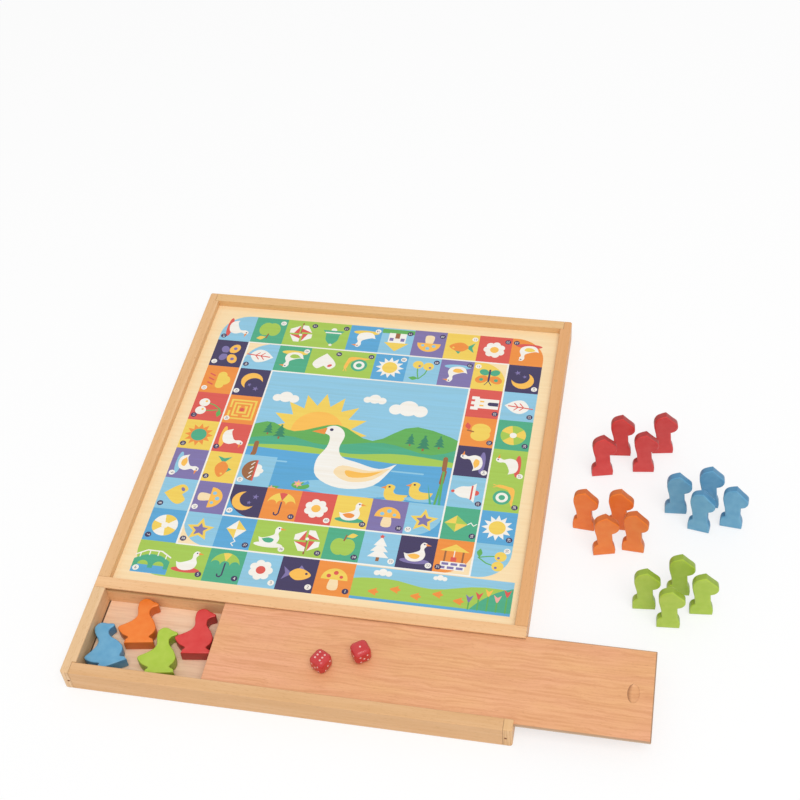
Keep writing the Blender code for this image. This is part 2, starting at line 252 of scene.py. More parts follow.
def cleaned_solid(node):
    """A copy of a solid, its flat faces whole again but for one level cut through the holes."""
    solid = copied_solid(node)
    bmesh.ops.dissolve_limit(solid, angle_limit=FLAT_ANGLE, verts=solid.verts, edges=solid.edges)
    sliced(solid, (0, 0, hole_level), (0, 0, 1))
    flat = [edge for edge in solid.edges if edge.calc_face_angle() < FLAT_ANGLE]
    slanted = [edge for edge in flat if not on_plane(edge, 2, hole_level)]
    bmesh.ops.dissolve_edges(solid, edges=slanted, use_verts=True)
    return solid


def rounded(solid, edges, radius, segments):
    """Rounds these edges of a solid, and gives the new faces."""
    return bmesh.ops.bevel(
        solid, geom=edges, offset=radius, segments=segments, profile=ROUND_PROFILE, affect="EDGES"
    )["faces"]


def on_plane(edge, axis, value):
    """Whether an edge lies in the plane at this value along an axis."""
    return all(abs(corner.co[axis] - value) < NEAR for corner in edge.verts)


def finished_mesh(solid, name):
    """Turns an edited solid into a mesh."""
    mesh = bpy.data.meshes.new(name)
    solid.to_mesh(mesh)
    solid.free()
    return mesh


def sanded_rail(rail, along):
    """A rail with its share of the frame's corners and rims sanded round, its lips' lower edges given
    painted shade, and its sawn faces marked.
    """
    low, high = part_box(rail)
    solid = cleaned_solid(rail)
    # Outer planes of the frame, and planes of this rail, each with its axis and its place along it
    sides = [(0, board_low.x), (0, board_high.x)]
    ends = [(1, board_low.y), (1, board_high.y)]
    across = 1 if along == "X" else 0
    flats = [(2, low.z), (2, high.z)]
    long_sides = [(across, low[across]), (across, high[across])]

    # The rims of a rail along X are round between the side rails, and sharp where it meets them
    if along == "X":
        for side in (-1, 1):
            sliced(solid, (side * inner_side, 0, 0), (1, 0, 0))

    def lies_on(edge, planes):
        """Whether an edge lies in one of these planes."""
        return any(on_plane(edge, axis, value) for axis, value in planes)

    def over_lid(edge, top):
        """Whether an edge lies above the lid and below a height."""
        return all(lid_top < corner.co.z < top for corner in edge.verts)

    def housed(edge):
        """Whether an edge of a rail along X is hidden where it meets the side rails."""
        reach = min(abs(corner.co.x) for corner in edge.verts)
        way_out = edge.verts[0].co.x > 0 and lies_on(edge, lip_faces) and over_lid(edge, 2 * high.z)
        open_side = way_out or lies_on(edge, sides + ends)
        return along == "X" and reach > inner_side - NEAR and not open_side

    lip_edges = [edge for edge in solid.edges if lies_on(edge, lip_faces)]
    lips = [edge for edge in lip_edges if over_lid(edge, high.z - RIM_ROUNDING)]
    # The lips' lower edges over the lid are rounded, and their faces get a dark finish: painted shade of the
    # gap where the lid runs under them.
    rubbed = rounded(solid, lips, LIP_ROUNDING, RIM_SEGMENTS)
    upright = [edge for edge in solid.edges if lies_on(edge, sides) and lies_on(edge, ends)]
    rounded(solid, upright, CORNER_ROUNDING, CORNER_SEGMENTS)
    rims = []
    for edge in solid.edges:
        on_corner = any(abs(face.normal.x * face.normal.y) > CORNER_SLANT for face in edge.link_faces)
        outer = on_corner or lies_on(edge, sides + ends + long_sides + lip_faces)
        if lies_on(edge, flats) and outer and not housed(edge):
            rims.append(edge)
    # Painted shade on the lips' lower edges
    for face in rubbed:
        face.material_index = SHADED_LIP
    rounded(solid, rims, RIM_ROUNDING, RIM_SEGMENTS)
    # Faces deep inside the rail, in its grooves and holes, get the darker sawn finish: partly the sawn
    # wood's own tone, partly painted shade.
    for face in solid.faces:
        middle = face.calc_center_median()
        deep = min(min(middle[i] - low[i], high[i] - middle[i]) for i in range(3)) > RIM_ROUNDING
        on_lip = any(abs(middle[axis] - value) < NEAR for axis, value in lip_faces)
        if deep and not on_lip and face.material_index == SANDED:
            face.material_index = SAWN_SHADED
    return finished_mesh(solid, "sanded_" + rail)


hole_level = (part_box("left_dowel")[1].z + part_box("brad_front_left")[0].z) / 2  # crosses every hole
lid_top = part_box("sliding_lid")[1].z
inner_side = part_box("right_field_rail")[0].x  # the side rails' inner faces
lip_faces = [(1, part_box("front_rail")[1].y), (1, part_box("middle_rail")[0].y)]
# Darker beech for faces deep in grooves and holes, partly the sawn wood's own tone and partly painted shade.
sawn_and_shaded_finish = wooden("sawn_and_shaded_beech", "X", (2, 2, 2), "E4B783", "D4A36C", "B98853")
# Dark beech for the lips' lower edges: painted shade, not the wood's own tone.
lip_shade_finish = wooden("lip_shade_beech", "X", (5, 5, 5), "8E5E36", "744A28", "5E3A1E")
for number, (rail, (along, light, dark)) in enumerate(rails.items()):
    offset = Vector((1, 1, 1)) * number * RAIL_OFFSET
    finish = wooden("beech_" + rail, along, offset, light, dark, "BE8B55")
    mesh = sanded_rail(rail, along)
    add_piece("sanded_" + rail, mesh, "board", "beech", finish, rail)
    mesh.materials.append(sawn_and_shaded_finish)
    mesh.materials.append(lip_shade_finish)


# Dowels and brads
# Two fluted beech dowels run through the ends of the middle rail into its neighbours, and are hidden.
# A thin steel brad is punched through each corner tenon from the front or the back.

DOWEL_FLUTES = 12
FLUTE_DEPTH = 0.08
DOWEL_CHAMFER = 0.0006
FLUTE_SIDES = 6
BRAD_SIDES = 24
BRAD_POINT = 0.0022
BRAD_HEAD = 0.0007
BRAD_SHANK, BRAD_TIP = 0.8, 0.1  # shares of the brad's radius
TURNED_EDGE = radians(40)  # what bends more than this stays sharp


def skinned(rings):
    """A closed solid over a row of rings, with its faces in the order of the rings and two flat ends."""
    solid = bmesh.new()
    rows = [[solid.verts.new(place) for place in ring] for ring in rings]
    for first, second in zip(rows, rows[1:]):
        for step in range(len(first)):
            after = (step + 1) % len(first)
            solid.faces.new((first[step], first[after], second[after], second[step]))
    solid.faces.new(rows[0][::-1])
    solid.faces.new(rows[-1])
    bmesh.ops.recalc_face_normals(solid, faces=solid.faces)
    return solid


def smoothed_mesh(solid, name, sharpest):
    """A mesh shaded smooth, but for edges that bend more than this angle."""
    mesh = finished_mesh(solid, name)
    mesh.shade_smooth()
    mesh.set_sharp_from_angle(angle=sharpest)
    return mesh


def turned(name, profile, centre, sides, flutes=0):
    """A turned piece along Y, closed at both ends, from pairs of a radius and a place along it."""
    rings = []
    for radius, along in profile:
        ring = []
        for step in range(sides):
            angle = tau * step / sides
            reach = radius * (1 - FLUTE_DEPTH * sin(flutes * angle / 2) ** 2)
            ring.append((centre.x + reach * cos(angle), along, centre.z + reach * sin(angle)))
        rings.append(ring)
    return smoothed_mesh(skinned(rings), name, TURNED_EDGE)


dowel_finish = wooden("beech_dowels", "Y", (3, 3, 3), "E6BD8A", "D2A268", "B98650")
for dowel in ("left_dowel", "right_dowel"):
    low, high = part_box(dowel)
    radius = (high.x - low.x) / 2
    profile = (
        (radius - DOWEL_CHAMFER, low.y),
        (radius, low.y + DOWEL_CHAMFER),
        (radius, high.y - DOWEL_CHAMFER),
        (radius - DOWEL_CHAMFER, high.y),
    )
    mesh = turned("fluted_" + dowel, profile, (low + high) / 2, DOWEL_FLUTES * FLUTE_SIDES, DOWEL_FLUTES)
    add_piece("fluted_" + dowel, mesh, "board", "beech", dowel_finish, dowel)

steel, tree, shader = new_material("brad_steel")
tarnish = add_node(tree, "TexNoise", {"Vector": place_on(tree), "Scale": 1500, "Detail": 3}).outputs[0]
tree.links.new(blended(tree, tarnish, colour("A8765A"), colour("7C4E3A")), shader.inputs["Base Color"])
tree.links.new(ranged(tree, tarnish, 0.3, 0.7, 0.28, 0.5), shader.inputs["Roughness"])
shader.inputs["Metallic"].default_value = 1
head_profile = ((0.4, 0.3), (0.7, 0), (0.95, 0.2), (0.95, 1), (BRAD_SHANK, 1.6))  # shares of radius and head
for brad in ("brad_front_left", "brad_front_right", "brad_back_left", "brad_back_right"):
    low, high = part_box(brad)
    radius = (high.x - low.x) / 2
    head, point, inward = (low.y, high.y, 1) if "front" in brad else (high.y, low.y, -1)
    profile = [(radius * wide, head + inward * BRAD_HEAD * deep) for wide, deep in head_profile]
    profile += [(radius * BRAD_SHANK, point - inward * BRAD_POINT), (radius * BRAD_TIP, point)]
    mesh = turned("punched_" + brad, profile, (low + high) / 2, BRAD_SIDES)
    add_piece("punched_" + brad, mesh, "board", "steel", steel, brad)


# Printed panel
# A thin plywood panel held in the grooves of the four field rails, printed in flat inks on both faces.
# The upper face is a goose game of sixty-three squares around a pond, the lower one a ludo cross.

inks = {
    "cream": "FAE2B6", "white": "F7F5EF", "yellow": "F3D35C", "amber": "FBC154", "orange": "F0923C",
    "red": "DC574E", "pink": "F2ABA0", "lime": "A6CB52", "green": "49AC86", "leaf": "5FAE55",
    "fir": "2F8463", "sky": "8FC9E6", "blue": "58A8DA", "violet": "7E73AC", "navy": "382E5A",
    "brown": "9A6238", "ludo_green": "78B64C", "ludo_red": "E0605A", "ludo_yellow": "F6CF50",
    "ludo_blue": "86C2E6",
}
PRINT_TOLERANCE = 1e-3  # smaller areas and gaps aren't drawn
GRID_DIGITS = 3  # outlines that nearly meet are drawn to the same thousandth of a millimetre
MILLIMETRE = 0.001
SQUARE_CORNERS = ((-1, -1), (1, -1), (1, 1), (-1, 1))
PICTURE_REACH = (60, 60)  # half sizes of a small picture's rectangle, in its own units


def smooth_loop(points, corners=(), steps=4):
    """A closed curve through these points, with a sharp corner at the numbered ones."""
    points = [Vector(point) for point in points]
    count = len(points)
    slopes = [(points[(i + 1) % count] - points[i - 1]) / 2 for i in range(count)]
    curve = []
    for i, start in enumerate(points):
        after = (i + 1) % count
        end = points[after]
        leaving = end - start if i in corners else slopes[i]
        arriving = end - start if after in corners else slopes[after]
        for step in range(steps):
            t = step / steps
            curve.append(
                start * (2 * t**3 - 3 * t**2 + 1)
                + leaving * (t**3 - 2 * t**2 + t)
                + end * (3 * t**2 - 2 * t**3)
                + arriving * (t**3 - t**2)
            )
    return curve


def clipped(points, axis, side, limit):
    """What is left of an outline on the near side of a line across one axis."""
    kept = []
    for start, end in zip(points, points[1:] + points[:1]):
        near = start[axis] * side <= limit
        if near:
            kept.append(start)
        if near != (end[axis] * side <= limit):
            kept.append(start.lerp(end, (limit * side - start[axis]) / (end[axis] - start[axis])))
    return kept


numeral_outlines = {}


def numeral_areas(text):
    """The areas of a plain number, one unit high and centred on its middle."""
    if text not in numeral_outlines:
        letters = bpy.data.curves.new("numeral", "FONT")
        letters.body = text
        letters.align_x = "CENTER"
        letters.align_y = "CENTER"
        letters.resolution_u = 3
        holder = bpy.data.objects.new("numeral", letters)
        drawn = holder.to_mesh()
        numeral_outlines[text] = [
            [drawn.vertices[corner].co.xy.copy() for corner in face.vertices] for face in drawn.polygons
        ]
        holder.to_mesh_clear()
        bpy.data.objects.remove(holder)
        bpy.data.curves.remove(letters)
    return numeral_outlines[text]


def places_inside(places, outline):
    """The numbers of the places that lie inside a closed outline."""
    low, high = numpy.min(outline, axis=0), numpy.max(outline, axis=0)
    near = numpy.flatnonzero(((places > low) & (places < high)).all(axis=1))
    x, y = places[near].T
    within = numpy.zeros(len(near), bool)
    for start, end in zip(outline, outline[1:] + outline[:1]):
        if start.y != end.y:
            passes = (start.y > y) != (end.y > y)
            within ^= passes & (x < start.x + (y - start.y) * (end.x - start.x) / (end.y - start.y))
    return near[within]


class Sheet:
    """The inked areas of one printed face, in millimetres from its middle. Later ones cover earlier ones."""

    def __init__(self, half_width, half_depth, ground):
        self.areas = [(ground, [Vector((half_width * x, half_depth * y)) for x, y in SQUARE_CORNERS])]

    def split(self):
        """The corners of the face, its triangles along all the outlines, and the ink of each triangle."""
        points = []
        outlines = []
        for _, outline in self.areas:
            outlines.append(list(range(len(points), len(points) + len(outline))))
            points.extend(outline)
        corners, _, faces, _, _, _ = delaunay_2d_cdt(points, [], outlines, 1, PRINT_TOLERANCE)
        middles = numpy.array(corners)[numpy.array(faces)].mean(axis=1)
        topmost = numpy.zeros(len(faces), int)
        for number, (_, outline) in enumerate(self.areas):
            topmost[places_inside(middles, outline)] = number
        return corners, faces, [self.areas[number][0] for number in topmost]


class Pen:
    """Draws areas of ink inside one rectangle of a sheet, with its own middle, unit and turn."""

    def __init__(self, sheet, middle, unit, reach, turn=0):
        self.sheet = sheet
        self.middle = Vector(middle)
        self.unit = unit
        self.reach = reach
        self.turn = Matrix.Rotation(radians(turn), 2)

    def smaller(self, x, y, unit):
        """Another pen around this point, with a unit of its own."""
        return Pen(self.sheet, self.middle + Vector((x, y)), unit, PICTURE_REACH)

    def area(self, ink, points):
        """An area with straight sides, cut off where it leaves the rectangle."""
        points = [Vector(point) for point in points]
        for axis in (0, 1):
            for side in (-1, 1):
                points = clipped(points, axis, side, self.reach[axis])
        extent = sum(a.cross(b) for a, b in zip(points, points[1:] + points[:1]))
        if abs(extent) * self.unit**2 > PRINT_TOLERANCE:
            placed = [self.middle + self.turn @ point * self.unit for point in points]
            on_grid = [Vector([round(value, GRID_DIGITS) for value in point]) for point in placed]
            self.sheet.areas.append((ink, on_grid if extent > 0 else on_grid[::-1]))

    def box(self, ink, x, y, width, height):
        """An upright rectangle around this point."""
        self.area(ink, [(x + width / 2 * i, y + height / 2 * j) for i, j in SQUARE_CORNERS])

    def fill(self, ink):
        """The whole rectangle of the pen."""
        self.box(ink, 0, 0, 2 * self.reach[0], 2 * self.reach[1])

    def blob(self, ink, points, corners=()):
        """An area with a smooth outline through these points, or sharp at the numbered ones."""
        self.area(ink, smooth_loop(points, corners))

    def oval(self, ink, x, y, across, up, tilt=0, steps=22):
        """An oval with these half sizes."""
        lean = Matrix.Rotation(radians(tilt), 2)
        angles = [tau * step / steps for step in range(steps)]
        self.area(ink, [Vector((x, y)) + lean @ Vector((across * cos(a), up * sin(a))) for a in angles])

    def disc(self, ink, x, y, radius, steps=22):
        """A round spot."""
        self.oval(ink, x, y, radius, radius, 0, steps)

    def slice(self, ink, x, y, radius, start, end, steps=16):
        """A slice of a disc between two angles."""
        angles = [radians(start + (end - start) * step / steps) for step in range(steps + 1)]
        rim = [(x + radius * cos(angle), y + radius * sin(angle)) for angle in angles]
        self.area(ink, [(x, y)] + rim)

    def star(self, ink, x, y, outer, inner, points, turn=90):
        """A star with this many points."""
        outline = []
        for step in range(2 * points):
            radius = inner if step % 2 else outer
            angle = radians(turn) + pi * step / points
            outline.append((x + radius * cos(angle), y + radius * sin(angle)))
        self.area(ink, outline)

    def stroke(self, ink, points, width):
        """A line of even width with round ends."""
        for x, y in points:
            self.disc(ink, x, y, width / 2, 10)
        for start, end in zip(points, points[1:]):
            start, end = Vector(start), Vector(end)
            aside = (end - start).orthogonal().normalized() * width / 2
            self.area(ink, [start + aside, start - aside, end - aside, end + aside])

    def numeral(self, ink, text, x, y, height):
        """A plain number around this point."""
        for outline in numeral_areas(text):
            self.area(ink, [(x + height * point.x, y + height * point.y) for point in outline])


# The small pictures on the squares, in hundredths of a square, on a ground and in two more inks


def draw_goose(pen, ground, first, second):
    pen.oval(second, -2, -27, 40, 9)
    body = ((-34, -3), (-21, -5), (2, 5), (8, 13), (7, 26), (14, 36), (24, 33), (23, 24), (18, 14))
    pen.blob("white", body + ((24, -4), (17, -22), (-6, -29), (-25, -23)), (0,))
    pen.area("orange", ((21, 33), (37, 27), (22, 25)))
    pen.disc("navy", 17, 30, 2.4, 10)
    pen.blob(first, ((-24, -9), (-6, -3), (10, -8), (4, -19), (-12, -19)), (0,))


def draw_star(pen, ground, first, second):
    pen.star(first, 0, -2, 40, 19, 5)
    pen.star(second, 0, -2, 23, 11, 5)


def draw_flower(pen, ground, first, second):
    for petal in range(7):
        angle = tau * petal / 7
        pen.disc(first, 21 * cos(angle), 21 * sin(angle), 12)
    pen.disc(second, 0, 0, 13)


def draw_moon(pen, ground, first, second):
    pen.disc(first, -6, 0, 33)
    pen.disc(ground, 9, 9, 28)
    pen.star(second, 24, 18, 10, 4, 5)
    pen.star(second, 10, -4, 7, 3, 5)


def draw_fish(pen, ground, first, second):
    pen.area(second, ((-14, 0), (-40, 21), (-33, 0), (-40, -21)))
    pen.area(second, ((-4, 12), (6, 30), (22, 10)))
    pen.blob(first, ((-22, 0), (-4, 18), (20, 15), (37, 0), (20, -15), (-4, -18)))
    pen.disc(ground, 24, 4, 3.6, 12)


def draw_leaf(pen, ground, first, second):
    pen.blob(first, ((-4, -32), (24, -14), (22, 12), (2, 40), (-22, 14), (-26, -12)), (3,))
    pen.stroke(second, ((-5, -42), (-2, -10), (1, 28)), 4)
    for height in (-16, 0):
        pen.stroke(second, ((-14, height + 11), (-2, height), (13, height + 12)), 3)


def draw_mushroom(pen, ground, first, second):
    pen.blob("cream", ((-9, 0), (9, 0), (13, -34), (-13, -34)))
    pen.slice(first, 0, -4, 36, 0, 180, 20)
    for x, y, radius in ((-16, 7, 6), (2, 18, 6.5), (18, 6, 5)):
        pen.disc(second, x, y, radius, 14)


def draw_sun(pen, ground, first, second):
    pen.star(first, 0, 0, 43, 27, 12)
    pen.disc(second, 0, 0, 23)


def draw_cloud(pen, ground, first, second):
    for x, y, radius in ((-19, 6, 14), (1, 15, 19), (22, 5, 13)):
        pen.disc(first, x, y, radius)
    pen.box(first, 2, 0, 42, 16)
    for x in (-18, 0, 18):
        pen.stroke(second, ((x + 3, -17), (x - 4, -32)), 5)


def draw_heart(pen, ground, first, second):
    right = ((0, -36), (27, -8), (35, 13), (19, 29))
    pen.blob(first, right + ((0, 16), (-19, 29), (-35, 13), (-27, -8)), (0, 4))
    pen.oval(second, -18, 14, 8, 5, 35, 14)


def draw_butterfly(pen, ground, first, second):
    for side in (-1, 1):
        pen.oval(first, side * 21, 14, 20, 15, side * 28)
        pen.oval(second, side * 16, -15, 15, 12, side * -24)
        pen.disc(second, side * 22, 15, 6, 14)
        pen.stroke("navy", ((0, 20), (side * 10, 36)), 2.5)
    pen.stroke("navy", ((0, 20), (0, -25)), 6)


def draw_fir(pen, ground, first, second):
    pen.box("brown", 0, -33, 9, 16)
    for height, width in ((-28, 29), (-9, 24), (10, 18)):
        pen.area(first, ((-width, height), (width, height), (0, height + 31)))
    pen.star(second, 0, 41, 8, 4, 5)


def draw_umbrella(pen, ground, first, second):
    pen.slice(first, 0, 2, 40, 0, 180, 20)
    for x in (-27, 0, 27):
        pen.slice(ground, x, 2, 13.2, 0, 180, 10)
    pen.slice(second, 0, 14, 28, 65, 115, 6)
    pen.stroke("navy", ((0, 8), (0, -30), (-5, -37), (-12, -35), (-13, -29)), 4)


def draw_apple(pen, ground, first, second):
    for side in (-1, 1):
        pen.oval(first, side * 11, -7, 22, 28, side * -8)
    pen.stroke("brown", ((0, 14), (4, 32)), 4.5)
    pen.blob(second, ((5, 27), (18, 40), (34, 36), (22, 25)), (0, 2))


def draw_kite(pen, ground, first, second):
    pen.area(first, ((0, 43), (28, 12), (0, -20), (-28, 12)))
    pen.area(second, ((0, 43), (28, 12), (0, 12)))
    pen.area(second, ((0, -20), (-28, 12), (0, 12)))
    pen.stroke("white", ((0, -20), (7, -28), (-3, -36), (4, -44)), 2.6)


def draw_bell(pen, ground, first, second):
    pen.disc(second, 0, -26, 9, 16)
    pen.blob(first, ((-34, -24), (34, -24), (22, -8), (18, 18), (0, 36), (-18, 18), (-22, -8)), (0, 1))
    pen.box(second, 0, -14, 50, 5)
    pen.disc(second, 0, 38, 5, 14)


def draw_ball(pen, ground, first, second):
    pen.disc(first, 0, 0, 36, 28)
    for start in (10, 130, 250):
        pen.slice(second, 0, 0, 36, start, start + 60)
    pen.disc("white", 0, 0, 10, 16)


def draw_pinwheel(pen, ground, first, second):
    pen.stroke("brown", ((0, 4), (0, -44)), 4.5)
    for step in range(4):
        lean = Matrix.Rotation(tau * step / 4, 2)
        pen.area(first, [lean @ Vector(point) for point in ((0, 6), (34, 6), (17, 36), (0, 36))])
        pen.area(second, [lean @ Vector(point) for point in ((0, 6), (34, 6), (0, 22))])
    pen.disc("white", 0, 6, 5, 12)


def draw_cherries(pen, ground, first, second):
    pen.stroke("leaf", ((-15, -10), (-8, 14), (8, 36), (14, 12), (17, -14)), 3.6)
    pen.blob("leaf", ((8, 34), (24, 42), (38, 33), (22, 27)), (0, 2))
    for x, y in ((-15, -18), (17, -22)):
        pen.disc(first, x, y, 16)
        pen.disc(second, x - 5, y + 5, 4, 10)


def draw_snail(pen, ground, first, second):
    pen.blob("amber", ((-38, -28), (22, -30), (34, -10), (38, 16), (29, 17), (20, -12), (-12, -18)), (0,))
    for x in (28, 37):
        pen.stroke("amber", ((33, 14), (x, 30)), 2.6)
    for ink, radius in ((first, 25), (second, 17), (first, 9)):
        pen.disc(ink, -6, 2, radius)


def draw_bridge(pen, ground, first, second):
    pen.box("blue", 0, -38, 120, 26)
    pen.blob(first, ((-60, -14), (-20, 8), (20, 8), (60, -14), (60, -34), (-60, -34)), (0, 3, 4, 5))
    for x in (-22, 22):
        pen.slice(ground, x, -26, 15, 0, 180)
        pen.box("blue", x, -31, 30, 12)
    pen.stroke(second, ((-55, 2), (-20, 23), (20, 23), (55, 2)), 4)
    for x, y in ((-36, 6), (-12, 14), (12, 14), (36, 6)):
        pen.stroke(second, ((x, y - 6), (x, y + 7)), 3)


def draw_inn(pen, ground, first, second):
    pen.box("leaf", 0, -42, 120, 18)
    pen.box("white", 0, -14, 54, 42)
    pen.area(first, ((-38, 6), (38, 6), (0, 42)))
    pen.box("brown", 0, -24, 14, 22)
    for x in (-17, 17):
        pen.box(second, x, -8, 12, 13)


def draw_well(pen, ground, first, second):
    pen.box("brown", -24, 0, 5, 50)
    pen.box("brown", 24, 0, 5, 50)
    pen.area(first, ((-40, 18), (40, 18), (0, 42)))
    pen.stroke("white", ((0, 20), (0, -6)), 2.6)
    pen.box(second, 0, -8, 15, 14)
    pen.box("white", 0, -30, 66, 26)
    for row, y in enumerate((-36, -24)):
        for x in (-24, 0, 24):
            pen.box("violet", x + 8 * row - 4, y, 18, 8)


def draw_maze(pen, ground, first, second):
    for size in (78, 54, 30):
        pen.box(first, 0, 0, size, size)
        pen.box(ground, 0, 0, size - 12, size - 12)
    for x, y in ((0, -36), (24, 0), (-12, 0)):
        pen.box(ground, x, y, 12, 12)
    pen.disc(second, 0, 0, 7, 14)


def draw_tower(pen, ground, first, second):
    pen.box(first, 0, -12, 38, 62)
    pen.box(first, 0, 21, 52, 12)
    for x in (-20, 0, 20):
        pen.box(first, x, 31, 12, 12)
    pen.box("navy", 0, -30, 14, 24)
    pen.disc("navy", 0, -18, 7, 16)
    for x in (-8, 8):
        pen.box(second, x, 6, 6, 12)


def draw_nest(pen, ground, first, second):
    for x, y in ((-13, 0), (13, 0), (0, 7)):
        pen.oval("white", x, y, 11, 15)
    pen.slice("brown", 0, -2, 38, 180, 360, 20)
    for x in (-24, -8, 8, 24):
        pen.stroke(first, ((x - 5, -10), (x + 4, -17)), 3)
    pen.stroke(second, ((-36, -3), (36, -3)), 5)


# The goose game on the upper face: three rings of squares with a pond inside them

panel_low, panel_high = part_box("board_panel")
panel_middle = (panel_low + panel_high) / 2
panel_half = (panel_high - panel_low) / 2 / MILLIMETRE

PRINT_SIZE = 250
COLUMNS, ROWS = 10, 9
STRIP_CELLS = 4
RING_LINE = 1.2
CORNER_SHARE = 0.86  # radius of a ring's corner in squares
CORNER_STEPS = 12
LAST_SQUARE = 63
RINGS = 3
NUMBER_PLACE = 37  # a square's number stands this far aside and down, in hundredths of a square
NUMBER_SPOT = 9
ONE_DIGIT, TWO_DIGITS = 13, 11  # heights of the numbers
goose_squares = (5, 9, 14, 18, 23, 27, 32, 36, 41, 45, 50, 54, 59)
landmarks = {6: draw_bridge, 19: draw_inn, 31: draw_well, 42: draw_maze, 52: draw_tower}
landmarks[LAST_SQUARE] = draw_nest
motifs = (
    draw_star, draw_mushroom, draw_fish, draw_flower, draw_umbrella, draw_moon, draw_leaf, draw_ball,
    draw_heart, draw_snail, draw_sun, draw_cherries, draw_cloud, draw_butterfly, draw_fir, draw_apple,
    draw_pinwheel, draw_bell, draw_kite,
)
schemes = (
    ("red", "white", "amber"),
    ("sky", "white", "red"),
    ("lime", "green", "white"),
    ("violet", "amber", "sky"),
    ("orange", "yellow", "red"),
    ("green", "lime", "yellow"),
    ("blue", "white", "yellow"),
    ("yellow", "orange", "green"),
    ("navy", "amber", "violet"),
    ("lime", "white", "red"),
    ("sky", "yellow", "violet"),
)
SCHEME_STEP = 4

goose_print = Sheet(panel_half.x, panel_half.y, "cream")
cell = Vector((PRINT_SIZE / COLUMNS, PRINT_SIZE / ROWS))
cell_unit = min(cell) / 100


def cell_middle(column, row):
    """The middle of a square of the goose game."""
    return Vector(((column + 0.5) * cell.x, (row + 0.5) * cell.y)) - Vector((PRINT_SIZE, PRINT_SIZE)) / 2


def ring_squares(ring):
    """Column, row and turn of the squares of one ring, clockwise from the right of its lower side."""
    left, right, low, high = ring, COLUMNS - 1 - ring, ring, ROWS - 1 - ring
    start = right - STRIP_CELLS if ring == 0 else right
    lower = [(column, low, 0) for column in range(start, left - 1, -1)]
    rising = [(left, row, -90) for row in range(low + 1, high + 1)]
    upper = [(column, high, 180) for column in range(left + 1, right + 1)]
    falling = [(right, row, 90) for row in range(high - 1, low, -1)]
    return lower + rising + upper + falling


def draw_square(number, ring, column, row, turn):
    """One square of the spiral: its ground, rounded at a corner of its ring, its picture and its number."""
    ground, first, second = schemes[(number * SCHEME_STEP + ring) % len(schemes)]
    reach = cell / cell_unit / 2
    flat = Pen(goose_print, cell_middle(column, row), cell_unit, reach)
    lowest = 1 if ring == 0 and column == COLUMNS - 1 else ring
    at_left, at_right = column == ring, column == COLUMNS - 1 - ring
    at_low, at_high = row == lowest, row == ROWS - 1 - ring
    outline = []
    cut_corner = Vector((0, 0))
    radius = CORNER_SHARE * 100
    for side, end, at_corner, start in (
        (-1, -1, at_left and at_low, 180),
        (1, -1, at_right and at_low, 270),
        (1, 1, at_right and at_high, 0),
        (-1, 1, at_left and at_high, 90),
    ):
        corner = Vector((side * reach[0], end * reach[1]))
        if not at_corner:
            outline.append(corner)
            continue
        cut_corner = corner
        middle = corner - Vector((side, end)) * radius
        for step in range(CORNER_STEPS + 1):
            angle = radians(start + 90 * step / CORNER_STEPS)
            outline.append(middle + Vector((cos(angle), sin(angle))) * radius)
    flat.area(ground, outline)
    turned_reach = reach if turn in (0, 180) else reach.yx
    pen = Pen(goose_print, cell_middle(column, row), cell_unit, turned_reach, turn)
    if number in landmarks:
        draw = landmarks[number]
    elif number in goose_squares:
        draw = draw_goose
    else:
        draw = motifs[number % len(motifs)]
    draw(pen, ground, first, second)
    spot, figures = ("white", "navy") if ground == "navy" or number % 3 == 0 else ("navy", "white")
    x, y = -NUMBER_PLACE if turn in (90, 180) else NUMBER_PLACE, -NUMBER_PLACE
    if cut_corner.dot(pen.turn @ Vector((x, y))) > 0 and cut_corner.length:
        x = -x
    pen.disc(spot, x, y, NUMBER_SPOT, 16)
    pen.numeral(figures, str(number), x, y, ONE_DIGIT if number < 10 else TWO_DIGITS)


def draw_clouds(pen, clouds, puffs, steps):
    """White clouds, each with a place and a size, from the same round puffs."""
    for x, y, size in clouds:
        for aside, up, radius in puffs:
            pen.disc("white", x + aside * size, y + up * size, radius * size, steps)


